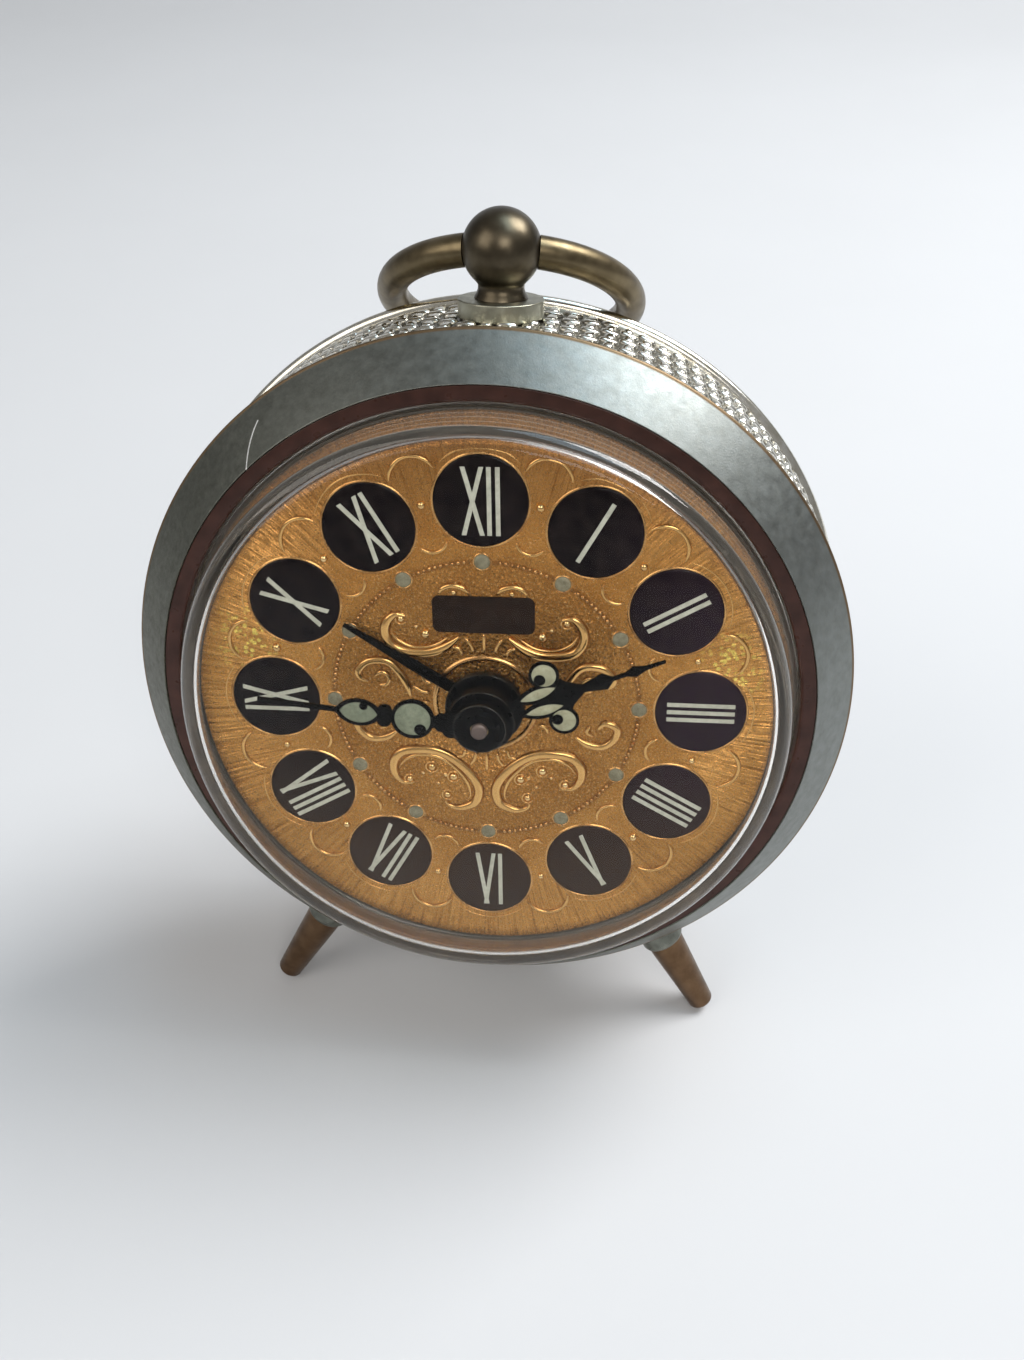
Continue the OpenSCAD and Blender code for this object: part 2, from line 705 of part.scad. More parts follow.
REGULATOR_SWING = 20;
module at_regulator_slot() {
    translate(balance_at) rotate(REGULATOR_DIR) intersection() {
        difference() {
            circle(regulator_reach + 0.9);
            circle(regulator_reach - 0.9);
        }
        polygon([[0, 0], polar(20, -REGULATOR_SWING - 7), polar(20, REGULATOR_SWING + 7)]);
    }
}
REGULATOR_DIR = 215;

screw_r = 0.9;
module back_cover_screws() {
    color("#c4b78f") for (a = PILLAR_DIRS) at(polar(cover_post_circle, a)) difference() {
        union() {
            rod(cover_back, cover_back + 0.9, cover_post_r);
            rod(cover_back - 3, cover_back, screw_r);
        }
        translate([-3, cover_back + 0.5, -0.25]) cube([6, 1, 0.5]);
    }
}

// Plates
module plate_outline() {
    difference() {
        circle(plate_r, $fn = 96);
        for (a = PILLAR_DIRS) rotate(a) translate([pillar_circle, 0]) circle(pillar_end_r);
    }
}
module front_plate() {
    color("#b08d4a") difference() {
        face_on(plate_front, plate_wall) plate_outline();
        rod(0, plate_back + over, cannon_r + running);
        for (p = [third_at, fourth_at, escape_at, pallet_at, balance_at, star_at, verge_at])
            at(p) rod(plate_front - over, plate_back + over, pivot_r + running);
        for (p = [time_barrel, alarm_barrel])
            at(p) rod(plate_front - over, plate_back + over, barrel_pivot_r + running);
        at(alarm_set_at) rod(plate_front - over, plate_back + over, arbor_r + running);
        for (p = [time_post_at, alarm_post_at])
            at(p) rod(plate_front - over, plate_back + over, spring_pin_r);
        at(hair_stud_at) rod(plate_front - over, plate_back + over, hair_stud_r);
        dial_pins(foot_pin_r, plate_front - over, plate_back + over);
    }
}
module rear_plate() {
    color("#b08d4a") difference() {
        union() {
            face_on(rear_front, plate_wall) difference() {
                plate_outline();
                translate(button_at) circle(button_r + 2 * pass);
            }
            at(balance_at) rod(rear_back, rear_back + 1.4, 1.3);
        }
        rod(rear_front - over, rear_back + over, arbor_r + running);
        for (p = [third_at, fourth_at, escape_at, pallet_at, star_at])
            at(p) rod(rear_front - over, rear_back + over, pivot_r + running);
        at(balance_at) rod(rear_front - over, rear_back + 1, pivot_r + running);
        for (p = [time_barrel, alarm_barrel])
            at(p) rod(rear_front - over, rear_back + over, barrel_r + running);
        at(alarm_set_at) rod(rear_front - over, rear_back + over, arbor_r + running);
        at(verge_at) rod(rear_front - over, rear_back + over, train_arbor_r + running);
        for (p = [time_post_at, alarm_post_at])
            at(p) rod(rear_front - over, rear_back + over, spring_pin_r);
    }
}
pillar_r = 1.6;
pillar_end_r = 1;
pillar_end = 1.5;
module plate_pillars() {
    color("#8b8471") for (a = PILLAR_DIRS) at(polar(pillar_circle, a)) {
        rod(plate_back, rear_front, pillar_r);
        rod(plate_front - 0.3, plate_back, pillar_end_r);
        rod(rear_front, rear_back + pillar_end, pillar_end_r);
    }
    color("#8b8471") for (p = [time_post_at, alarm_post_at]) at(p) {
        rod(plate_back, rear_front, spring_post_r);
        rod(plate_front - 0.2, plate_back, spring_pin_r);
        rod(rear_front, rear_back + 0.2, spring_pin_r);
    }
    color("#8b8471") at(minute_wheel_at)
        rod(hour_wheel_level - 0.3, plate_front, minute_post_r);
}
module cover_posts() {
    color("#8b8471") for (a = PILLAR_DIRS) difference() {
        at(polar(cover_post_circle, a)) translate([0, cover_back - cover_wall, 0]) rotate([90, 0, 0])
            cylinder(r = cover_post_r, h = cover_back - cover_wall - rear_back, $fn = 6);
        at(polar(pillar_circle, a)) rod(rear_back - over, rear_back + pillar_end, pillar_end_r);
        at(polar(cover_post_circle, a)) rod(cover_back - 3, cover_back, screw_r);
    }
}

// Toothed wheels. A tooth points at the given direction
function gear_points(teeth, m, out, in, full, first) = [
    for (t = [0 : teeth - 1])
        let (a = first + t * 360 / teeth, p = 360 / teeth, r = m * teeth / 2)
            each [
                polar(r - in * m, a - p * (full * 0.62)), polar(r, a - p * full / 2),
                polar(r + out * m, a - p * full * 0.16), polar(r + out * m, a + p * full * 0.16),
                polar(r, a + p * full / 2), polar(r - in * m, a + p * (full * 0.62))
            ]
];
// Wheel teeth are taller outside the pitch line, pinion leaves inside it
module wheel_shape(teeth, m, first) { polygon(gear_points(teeth, m, 1, 1, 0.4, first)); }
module pinion_shape(leaves, m, first) {
    polygon(gear_points(leaves, m, 0.55, 1.35, 0.34, first));
}
// Wheel with a hub disc, spokes and a round hole
module spoked(teeth, m, first, hole) {
    rim_in = m * teeth / 2 - 2.2 * m;
    difference() {
        wheel_shape(teeth, m, first);
        if (rim_in > 3.5) difference() {
            circle(rim_in);
            circle(rim_in * 0.35 + 0.5);
            for (a = [0 : 90 : 270]) rotate(a + 45) translate([0, -0.55]) square([rim_in + 1, 1.1]);
        }
        circle(hole);
    }
}
function tooth_gap(leaves) = 180 + 180 / leaves;

barrel_r = 1.5;
barrel_pivot_r = 0.8;
SPRING_POST = 13.9;
spring_post_r = 0.9;
spring_pin_r = 0.7;
time_post_at = time_barrel + polar(SPRING_POST, 180);
alarm_post_at = alarm_barrel + polar(SPRING_POST, 0);

// Great wheel, pierced on three sides and whole where its click is pinned
click_pin_r = 0.6;
CLICK_CIRCLE = 8.6;
TIME_CLICK_DIR = 300;
ALARM_CLICK_DIR = 225;
module great_wheel(mesh_dir, click_dir) {
    color("#b9953f") face_on(great_level, great_wall) difference() {
        wheel_shape(GREAT_TEETH, great_module, mesh_dir);
        circle(barrel_r + running);
        for (a = [90, 180, 270]) rotate(click_dir + a) translate([7.4, 0]) circle(2.7);
        rotate(click_dir) translate([CLICK_CIRCLE, 0]) circle(click_pin_r + running);
    }
}
module time_great_wheel() { at(time_barrel) great_wheel(TIME_DIR + 180, TIME_CLICK_DIR); }
module alarm_great_wheel() { at(alarm_barrel) great_wheel(STAR_DIR, ALARM_CLICK_DIR); }

// Spiral blade from the arbor out to the fixed post
SPRING_TURNS = 6;
SPRING_STEP = 24;
blade = 0.3;
function spiral(turns, r0, r1, start, side) = [
    for (i = [0 : turns * SPRING_STEP])
        let (f = i / (turns * SPRING_STEP), a = start + side * i * 360 / SPRING_STEP)
            polar(r0 + (r1 - r0) * f, a)
];
function reversed(list) = [for (i = [len(list) - 1 : -1 : 0]) list[i]];
module spiral_blade(turns, r0, r1, start, side, thick) {
    polygon(concat(spiral(turns, r0, r1, start, side),
        reversed(spiral(turns, r0 + thick, r1 + thick, start, side))));
}
module mainspring(end_dir) {
    color("#4c5664") {
        face_on(spring_level, spring_h) rotate(end_dir)
            spiral_blade(SPRING_TURNS, barrel_r + 0.1, spring_r, 0, 1, blade);
        face_on(spring_level + 0.4, spring_h - 0.8) rotate(end_dir) difference() {
            union() {
                translate([spring_r + 0.1, -0.5]) square([SPRING_POST - spring_r - 0.8, 0.5]);
                translate([SPRING_POST, 0]) circle(spring_post_r + 0.35);
            }
            translate([SPRING_POST, 0]) circle(spring_post_r);
        }
    }
}
module time_mainspring() { at(time_barrel) mainspring(180); }
module alarm_mainspring() { at(alarm_barrel) mainspring(0); }

key_front = cover_back + 1.2;
key_hub_r = 2.7;
key_hub_h = 7;
key_bore_end = cover_back + 8.5;
module winding_arbor() {
    color("#8e8b80") {
        rod(plate_front + 0.1, plate_back + 0.2, barrel_pivot_r);
        rod(plate_back + 0.2, key_bore_end, barrel_r);
    }
}
module time_winding_arbor() { at(time_barrel) winding_arbor(); }

module ratchet_shape() {
    polygon([
        for (t = [0 : RATCHET_TEETH - 1]) let (a = t * 360 / RATCHET_TEETH)
            each [polar(ratchet_r, a), polar(ratchet_r - 0.7, a + 2)]
    ]);
}
module ratchet_wheel() {
    color("#8e8b80") face_on(ratchet_level, ratchet_wall) difference() {
        ratchet_shape();
        circle(barrel_r);
    }
}
module time_ratchet_wheel() { at(time_barrel) ratchet_wheel(); }
module alarm_winding_arbor() {
    at(alarm_barrel) {
        winding_arbor();
        ratchet_wheel();
    }
}

// Click that rides on a ratchet wheel, pinned to the great wheel
module click(dir) {
    color("#8e8b80") at(polar(CLICK_CIRCLE, dir)) {
        face_on(ratchet_level, ratchet_wall) difference() {
            union() {
                circle(1.4);
                rotate(dir + 180 + 18) polygon([[0, -0.9], [0, 0.9], [4.7, 0.7], [5, 0]]);
            }
            circle(click_pin_r);
        }
        rod(great_level, ratchet_level + ratchet_wall + 0.1, click_pin_r);
    }
}
module time_click() { at(time_barrel) click(TIME_CLICK_DIR); }
module alarm_click() { at(alarm_barrel) click(ALARM_CLICK_DIR); }

// Wing key, drawn with its wings across
module wing_key(turn) {
    wing_r = key_span / 4;
    color("#9c937b") rotate([0, turn, 0]) difference() {
        union() {
            rod(key_front, key_front + key_hub_h, key_hub_r);
            translate([0, 0, -0.7]) linear_extrude(1.4) difference() {
                union() {
                    for (s = [-1, 1]) translate([s * wing_r, key_front + 6]) circle(wing_r);
                    translate([-wing_r, key_front + 3]) square([2 * wing_r, 5]);
                }
                for (s = [-1, 1]) translate([s * (wing_r + 0.3), key_front + 6.4]) circle(wing_r * 0.42);
            }
        }
        rod(key_front - over, key_bore_end, barrel_r);
    }
}
module time_winding_key() { at(time_barrel) wing_key(28); }
module alarm_winding_key() { at(alarm_barrel) wing_key(-35); }

// Going train
module train_arbor(front, back) {
    rod(plate_front + 0.1, front, pivot_r);
    rod(front, back, train_arbor_r);
    rod(back, rear_back - 0.1, pivot_r);
}
module center_wheel() {
    color("#c39a45") difference() {
        union() {
            face_on(centre_level, wheel_wall) spoked(CENTRE_TEETH, centre_module, THIRD_DIR, 0.2);
            face_on(centre_level + wheel_wall, great_level + great_wall + 0.3 - centre_level - wheel_wall)
                pinion_shape(CENTRE_LEAVES, great_module, TIME_DIR + 180 / CENTRE_LEAVES);
        }
        rod(plate_front, rear_front, arbor_r + running);
    }
}
module third_wheel() {
    color("#c39a45") at(third_at) {
        train_arbor(plate_back + 0.2, rear_front - 0.2);
        face_on(centre_level - 0.2, wheel_wall + 0.7) difference() {
            pinion_shape(THIRD_LEAVES, centre_module, THIRD_DIR + tooth_gap(THIRD_LEAVES));
            circle(train_arbor_r);
        }
        face_on(third_level, wheel_wall) spoked(THIRD_TEETH, third_module, FOURTH_DIR, train_arbor_r);
    }
}
module fourth_wheel() {
    color("#c39a45") at(fourth_at) {
        train_arbor(plate_back + 0.2, rear_front - 0.2);
        face_on(third_level - 0.4, wheel_wall + 0.8) difference() {
            pinion_shape(FOURTH_LEAVES, third_module, FOURTH_DIR + tooth_gap(FOURTH_LEAVES));
            circle(train_arbor_r);
        }
        face_on(fourth_level, wheel_wall) spoked(FOURTH_TEETH, fourth_module, ESCAPE_DIR, train_arbor_r);
    }
}
module escape_wheel() {
    color("#c39a45") at(escape_at) {
        train_arbor(plate_back + 0.2, rear_front - 0.2);
        face_on(fourth_level - 0.4, wheel_wall + 0.8) difference() {
            pinion_shape(ESCAPE_LEAVES, fourth_module, ESCAPE_DIR + tooth_gap(ESCAPE_LEAVES));
            circle(train_arbor_r);
        }
        face_on(escape_level, escape_wall) difference() {
            union() {
                circle(escape_r - 1.5);
                for (t = [0 : ESCAPE_TEETH - 1]) rotate(t * 360 / ESCAPE_TEETH)
                    polygon([[escape_r - 1.8, -0.55], [escape_r, -0.12], [escape_r, 0.12], [escape_r - 1.8, 0.35]]);
            }
            circle(train_arbor_r);
        }
    }
}
// Lever with two upright pins towards the escape wheel and a fork towards the balance
module pallet_lever() {
    color("#8e8b80") at(pallet_at) {
        train_arbor(plate_back + 0.2, rear_front - 0.2);
        face_on(lever_level, lever_wall) difference() {
            rotate(BALANCE_DIR) union() {
                translate([0, -0.4]) square([lever_len - 2.6, 0.8]);
                translate([lever_len - 3, 0]) circle(0.75);
            }
            rotate(BALANCE_DIR) translate([lever_len - 2.7, -0.25]) square([1, 0.5]);
            circle(train_arbor_r);
        }
        face_on(lever_level, lever_wall) difference() {
            rotate(PALLET_DIR + 90) translate([-2.4, -0.35]) square([4.8, 0.7]);
            circle(train_arbor_r);
            rotate(BALANCE_DIR) translate([0, -0.4]) square([2, 0.8]);
        }
        for (s = [-1, 1]) at(polar(2.1, PALLET_DIR + s * 90)) rod(escape_level - 0.2, lever_level + 0.2, 0.2);
    }
}
module balance_wheel() {
    color("#c39a45") at(balance_at) {
        train_arbor(plate_back + 0.2, rear_front - 0.2);
        face_on(balance_level, 0.8) difference() {
            circle(balance_r);
            difference() {
                circle(balance_r - 0.9);
                translate([-balance_r, -0.4]) square([2 * balance_r, 0.8]);
                circle(1.2);
            }
            circle(train_arbor_r);
        }
        face_on(roller_level, roller_wall + 0.2) difference() {
            circle(2.1);
            circle(train_arbor_r);
        }
        at(polar(1.6, BALANCE_DIR + 180)) rod(lever_level, roller_level + 0.2, 0.2);
    }
}
// Hairspring, from the balance's staff to a stud in the front plate
hairspring_r = 4.2;
hair = 0.12;
hair_stud_r = 0.4;
hair_stud_at = balance_at + polar(hairspring_r, 90);
module hairspring() {
    color("#5b6b86") {
        at(balance_at) face_on(hairspring_level, 0.5)
            spiral_blade(5, train_arbor_r + running, hairspring_r, 90, 1, hair);
        at(hair_stud_at) rod(plate_front, hairspring_level + 0.8, hair_stud_r);
    }
}
module regulator_lever() {
    color("#9c937b") at(balance_at) difference() {
        union() {
            face_on(rear_back + 0.1, 0.5) {
                circle(2.4);
                rotate(REGULATOR_DIR) translate([0, -0.7]) square([regulator_reach + 0.35, 1.4]);
            }
            rotate([0, -REGULATOR_DIR, 0]) translate([regulator_reach - 0.35, rear_back + 0.1, -0.7])
                cube([0.7, cover_back + 1.6 - rear_back, 1.4]);
        }
        rod(rear_back - over, rear_back + 1.5, 1.3 + running);
    }
}

// Wheels behind the dial
module center_arbor() {
    color("#8a8177") {
        rod(-minute_front - 1.1, plate_back + 0.4, arbor_r);
        rod(plate_back + 0.4, setting_end, arbor_r);
    }
}
module cannon_pinion() {
    color("#b9953f") difference() {
        union() {
            rod(-minute_front - 0.25, plate_front - 0.15, cannon_r);
            face_on(minute_level - 0.2, wheel_wall + 0.5)
                pinion_shape(CANNON_TEETH, motion_module, MINUTE_DIR + 180 / CANNON_TEETH);
        }
        rod(-minute_front - 2, plate_back, arbor_r);
    }
}
minute_post_r = 0.6;
module minute_wheel() {
    color("#c39a45") at(minute_wheel_at) difference() {
        union() {
            face_on(minute_level, wheel_wall) spoked(MINUTE_TEETH, motion_module, MINUTE_DIR + 180, 0.2);
            face_on(hour_wheel_level - 0.1, minute_level - hour_wheel_level + 0.1)
                pinion_shape(MINUTE_LEAVES, hour_module, MINUTE_DIR + 180 + 180 / MINUTE_LEAVES);
        }
        rod(0, plate_front + over, minute_post_r + running);
    }
}
module hour_wheel() {
    color("#c39a45") difference() {
        union() {
            face_on(hour_wheel_level, wheel_wall) spoked(HOUR_TEETH, hour_module, MINUTE_DIR, 0.2);
            rod(-hour_front, hour_wheel_level + wheel_wall, hour_pipe_r);
        }
        rod(-hour_front - over, plate_front, hour_pipe_in);
    }
}
module alarm_wheel() {
    color("#c39a45") difference() {
        union() {
            face_on(alarm_wheel_level, wheel_wall) spoked(ALARM_TEETH, hour_module, ALARM_SET_DIR, 0.2);
            rod(-1.25, alarm_wheel_level + wheel_wall, alarm_pipe_r);
        }
        rod(-1.25 - over, plate_front, alarm_pipe_in);
    }
}
module alarm_setting_arbor() {
    color("#8e8b80") at(alarm_set_at) {
        rod(alarm_wheel_level - 0.3, setting_end, arbor_r);
        face_on(alarm_wheel_level - 0.2, wheel_wall + 0.5) difference() {
            pinion_shape(ALARM_LEAVES, hour_module, ALARM_SET_DIR + tooth_gap(ALARM_LEAVES));
            circle(arbor_r);
        }
    }
}
// Knob with a fluted rim, and how far its arbor reaches behind the cover
knob_h = 3.6;
knob_gap = 1.4;
setting_end = cover_back + 4;
module fluted_knob(r, h, start) {
    flutes = 16;
    color("#9c937b") difference() {
        face_on(start, h) difference() {
            circle(r);
            for (i = [0 : flutes - 1]) rotate(i * 360 / flutes) translate([r + 0.15, 0]) circle(0.4, $fn = 16);
        }
        rod(start - over, setting_end, arbor_r);
    }
}
module time_setting_knob() { fluted_knob(time_knob_r, knob_h, cover_back + knob_gap); }
module alarm_setting_knob() { at(alarm_set_at) fluted_knob(alarm_knob_r, knob_h, cover_back + knob_gap); }

// Alarm
module alarm_star_wheel() {
    color("#c39a45") at(star_at) {
        train_arbor(plate_back + 0.2, rear_front - 0.2);
        face_on(great_level - 0.4, great_wall + 0.8) difference() {
            pinion_shape(STAR_LEAVES, great_module, STAR_DIR + tooth_gap(STAR_LEAVES));
            circle(train_arbor_r);
        }
        face_on(star_level, wheel_wall) difference() {
            polygon([
                for (t = [0 : STAR_TEETH - 1]) let (a = t * 360 / STAR_TEETH)
                    each [polar(star_r, a), polar(star_r - 1.3, a + 180 / STAR_TEETH)]
            ]);
            circle(train_arbor_r);
        }
    }
}
HAMMER_DIR = 200;
HAMMER_SWING = 9;
hammer_len = 10;
hammer_head_r = 1.8;
hammer_level = rear_back + 1.6;
post_r = 0.9;
post_shoulder_r = 1.4;
post_at = verge_at + polar(hammer_len,
    HAMMER_DIR - HAMMER_SWING - 2 * asin((hammer_head_r + post_shoulder_r + pass) / 2 / hammer_len));
module alarm_hammer() {
    color("#8e8b80") at(verge_at) {
        rod(plate_front + 0.1, plate_back + 0.2, pivot_r);
        rod(plate_back + 0.2, hammer_level + 1, train_arbor_r);
        face_on(star_level, wheel_wall) difference() {
            rotate(VERGE_DIR + 180) for (s = [-1, 1]) rotate(s * 38) translate([0, -0.3]) square([2.3, 0.6]);
            circle(train_arbor_r);
        }
        face_on(hammer_level, 0.8) difference() {
            union() {
                circle(1.3);
                rotate(HAMMER_DIR) translate([0, -0.6]) square([hammer_len, 1.2]);
            }
            circle(train_arbor_r);
        }
        at(polar(hammer_len, HAMMER_DIR)) rod(hammer_level - 0.6, hammer_level + 3, hammer_head_r);
    }
}
module sounding_post() {
    color("#8b8471") at(post_at) {
        rod(hammer_level + 0.2, cover_back - cover_wall, post_shoulder_r);
        rod(cover_back - cover_wall, cover_back + 0.4, post_r);
    }
}
button_r = 0.9;
button_cap_r = 2.3;
button_cap_h = 2.2;
button_rest = 0.4;
button_along = 7;
button_at = verge_at + polar(button_along,
    HAMMER_DIR + HAMMER_SWING + asin((0.6 + button_r + pass) / button_along));
module alarm_stop_button() {
    color("#9c937b") at(button_at) {
        rod(hammer_level + 1.1, cover_back + button_travel + button_rest, button_r);
        rod(cover_back + button_travel + button_rest, cover_back + button_travel + button_rest + button_cap_h,
            button_cap_r);
    }
}

seated() case_band();
seated() bezel();
seated() bezel_inner_ring();
seated() crystal();
seated() dial();
seated() hour_medallions();
seated() dial_lume_dots();
seated() bare_plate();
seated() hour_hand();
seated() hour_hand_lume();
seated() minute_hand();
seated() minute_hand_lume();
seated() alarm_hand();
seated() finial();
seated() finial_washer();
seated() finial_nut();
seated() carrying_ring();
seated() foot_left();
seated() foot_right();
seated() foot_rear();
seated() foot_flanges();
seated() foot_collars();
seated() foot_nuts();
seated() back_cover();
seated() back_cover_screws();
seated() front_plate();
seated() rear_plate();
seated() plate_pillars();
seated() cover_posts();
seated() alarm_click();
seated() center_arbor();
seated() cannon_pinion();
seated() minute_wheel();
seated() hour_wheel();
seated() alarm_wheel();
seated() alarm_setting_arbor();
seated() time_setting_knob();
seated() alarm_setting_knob();
seated() time_great_wheel();
seated() time_mainspring();
seated() time_winding_arbor();
seated() time_ratchet_wheel();
seated() time_click();
seated() time_winding_key();
seated() center_wheel();
seated() third_wheel();
seated() fourth_wheel();
seated() escape_wheel();
seated() pallet_lever();
seated() balance_wheel();
seated() hairspring();
seated() regulator_lever();
seated() alarm_great_wheel();
seated() alarm_mainspring();
seated() alarm_winding_arbor();
seated() alarm_winding_key();
seated() alarm_star_wheel();
seated() alarm_hammer();
seated() sounding_post();
seated() alarm_stop_button();
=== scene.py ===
# %% [markdown]
# # A small wind-up alarm clock
# The clock on the table is a shallow drum with a silver bezel, a thick clear crystal and a dial
# that is pressed from copper-gold sheet. The solids of the clock, with its whole movement, come
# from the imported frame. This lesson dresses them: it turns the round pieces smoothly, presses the
# ornament into the dial, weaves the band and gives every piece its finish.

# %% The fixed frame
import json
import math

import bmesh
import bpy
from mathutils import Matrix, Vector


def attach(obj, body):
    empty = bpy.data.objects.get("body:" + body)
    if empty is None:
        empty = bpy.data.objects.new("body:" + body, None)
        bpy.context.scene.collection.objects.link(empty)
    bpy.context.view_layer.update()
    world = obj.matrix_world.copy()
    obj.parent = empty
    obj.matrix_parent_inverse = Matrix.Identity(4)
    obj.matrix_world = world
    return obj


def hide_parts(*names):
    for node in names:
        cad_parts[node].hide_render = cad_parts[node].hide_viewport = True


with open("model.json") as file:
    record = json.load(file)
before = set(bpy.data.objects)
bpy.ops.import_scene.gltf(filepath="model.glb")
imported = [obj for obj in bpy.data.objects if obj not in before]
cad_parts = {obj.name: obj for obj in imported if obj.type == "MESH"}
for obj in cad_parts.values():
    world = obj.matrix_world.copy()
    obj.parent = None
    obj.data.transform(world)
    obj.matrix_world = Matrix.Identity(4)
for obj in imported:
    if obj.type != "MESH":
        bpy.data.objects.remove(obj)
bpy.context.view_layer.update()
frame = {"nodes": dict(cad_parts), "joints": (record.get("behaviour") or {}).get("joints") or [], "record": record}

# %% [markdown]
# The clock leans back on its feet, so its own directions are not those of the room. A maker draws
# it upright, with the middle of the dial as the origin, x to the right, y into the case and z up,
# all in millimetres. The setting arbor's joint tells where that origin is and how far it leans, so
# one matrix carries every drawing to its place on the table.

# %% From the clock's own millimetres to the table
SETTING_DEPTH = 0.010
setting = next(j for j in frame["joints"] if j["name"] == "time_setting")
into_case = Vector(setting["axis"]).normalized()
to_right = Vector((1, 0, 0))
upwards = to_right.cross(into_case)
dial_middle = Vector(setting["pos_m"]) - SETTING_DEPTH * into_case
lean = math.acos(into_case.y)
dial_height = dial_middle.z

CLOCK = Matrix.Translation(dial_middle) @ Matrix((to_right, into_case, upwards)).transposed().to_4x4()
CLOCK = CLOCK @ Matrix.Scale(0.001, 4)
DIAL_TURN = math.radians(1.5)
DIAL = CLOCK @ Matrix.Rotation(-DIAL_TURN, 4, "Y")
print("lean %.2f degrees, dial's middle %.2f mm above the table" % (math.degrees(lean), dial_height * 1000))

# %% [markdown]
# Finishes and repeats are both built from nodes. Written out one by one, nodes hide the idea that
# they carry, so a small class wraps an output socket and lets Python's own + - * / add the Math
# nodes. A second class holds the tree and has one method that makes any other node.

# %% Arithmetic on sockets
class Wire:
    """An output socket that can be added, multiplied and compared."""

    def __init__(self, graph, socket):
        self.graph, self.socket = graph, socket

    def math(self, operation, *terms):
        return self.graph.node("ShaderNodeMath", {"operation": operation}, dict(enumerate(terms)))

    def __add__(self, other):
        return self.math("ADD", self, other)

    def __radd__(self, other):
        return self.math("ADD", other, self)

    def __sub__(self, other):
        return self.math("SUBTRACT", self, other)

    def __rsub__(self, other):
        return self.math("SUBTRACT", other, self)

    def __mul__(self, other):
        return self.math("MULTIPLY", self, other)

    def __rmul__(self, other):
        return self.math("MULTIPLY", other, self)

    def __truediv__(self, other):
        return self.math("DIVIDE", self, other)

    def __rtruediv__(self, other):
        return self.math("DIVIDE", other, self)

    def __mod__(self, other):
        return self.math("FLOORED_MODULO", self, other)

    def __rmod__(self, other):
        return self.math("FLOORED_MODULO", other, self)

    def __lt__(self, other):
        return self.math("LESS_THAN", self, other)

    def __gt__(self, other):
        return self.math("GREATER_THAN", self, other)

    def __abs__(self):
        return self.math("ABSOLUTE", self)

    def sine(self):
        return self.math("SINE", self)

    def cosine(self):
        return self.math("COSINE", self)

    def arc_cosine(self):
        return self.math("ARCCOSINE", self)

    def root(self):
        return self.math("SQRT", self)

    def angle_to(self, other):
        return self.math("ARCTAN2", self, other)


class Graph:
    """A node tree, with one method that makes any node."""

    def __init__(self, tree):
        self.tree = tree

    def node(self, kind, settings=None, values=None, out=0):
        """Makes a node, its settings first and then its sockets, and gives one of its outputs."""
        made = self.tree.nodes.new(kind)
        for key, value in (settings or {}).items():
            setattr(made, key, value)
        for key, value in (values or {}).items():
            if isinstance(value, Wire):
                self.tree.links.new(value.socket, made.inputs[key])
            else:
                made.inputs[key].default_value = value
        return Wire(self, made.outputs[out]) if made.outputs else None

    def join(self, x, y, z):
        return self.node("ShaderNodeCombineXYZ", None, {0: x, 1: y, 2: z})

print("arithmetic on sockets is ready")

# %% [markdown]
# A finish needs to know where on the clock it is: brushing runs out from the dial's middle, and a
# scratch sits at one place. Every finished object stands at the room's origin, so its Object
# coordinates are the room's. A Mapping node turns them back into the clock's own millimetres.

# %% Finishes
def as_colour(value):
    """A linked colour as it is, or three plain numbers with the alpha that a socket wants."""
    return value if isinstance(value, Wire) else (*value, 1)


class Finish(Graph):
    """A material whose patterns are drawn in the clock's own millimetres."""

    def __init__(self, name):
        self.material = bpy.data.materials.new(name)
        self.material.use_nodes = True
        super().__init__(self.material.node_tree)
        self.tree.nodes.clear()
        room = self.node("ShaderNodeTexCoord", out="Object")
        dial_behind = 1000 * dial_height * math.sin(lean)
        dial_above = 1000 * dial_height * math.cos(lean)
        self.place = self.node("ShaderNodeMapping", {"vector_type": "POINT"}, {
            "Vector": room, "Location": (0, dial_behind, -dial_above),
            "Rotation": (lean, 0, 0), "Scale": (1000, 1000, 1000)})

    def split(self, vector):
        parts = self.node("ShaderNodeSeparateXYZ", None, {0: vector}).socket.node
        return [Wire(self, parts.outputs[axis]) for axis in range(3)]

    def noise(self, scale, detail=2.0, where=None, rough=0.5):
        return self.node("ShaderNodeTexNoise", None, {
            "Vector": where or self.place, "Scale": scale, "Detail": detail, "Roughness": rough})

    def cells(self, scale):
        return self.node("ShaderNodeTexVoronoi", None, {"Vector": self.place, "Scale": scale})

    def spread(self, value, low, high, to_low=0.0, to_high=1.0):
        """Carries the range low to high over to another one, and stops at its ends."""
        return self.node("ShaderNodeMapRange", None, {
            "Value": value, "From Min": low, "From Max": high, "To Min": to_low, "To Max": to_high})

    def blend(self, factor, one, other):
        return self.node("ShaderNodeMix", {"data_type": "RGBA"}, {
            0: factor, 6: as_colour(one), 7: as_colour(other)}, out=2)

    def bump(self, height, depth):
        """Relief of so many millimetres."""
        return self.node("ShaderNodeBump", None, {
            "Height": height, "Distance": depth / 1000, "Strength": 1.0})

    def surface(self, colour, roughness, **rest):
        values = {"Base Color": as_colour(colour), "Roughness": roughness}
        values.update({key.replace("_", " "): value for key, value in rest.items()})
        return self.node("ShaderNodeBsdfPrincipled", None, values)

    def done(self, shader):
        self.node("ShaderNodeOutputMaterial", None, {"Surface": shader})
        return self.material


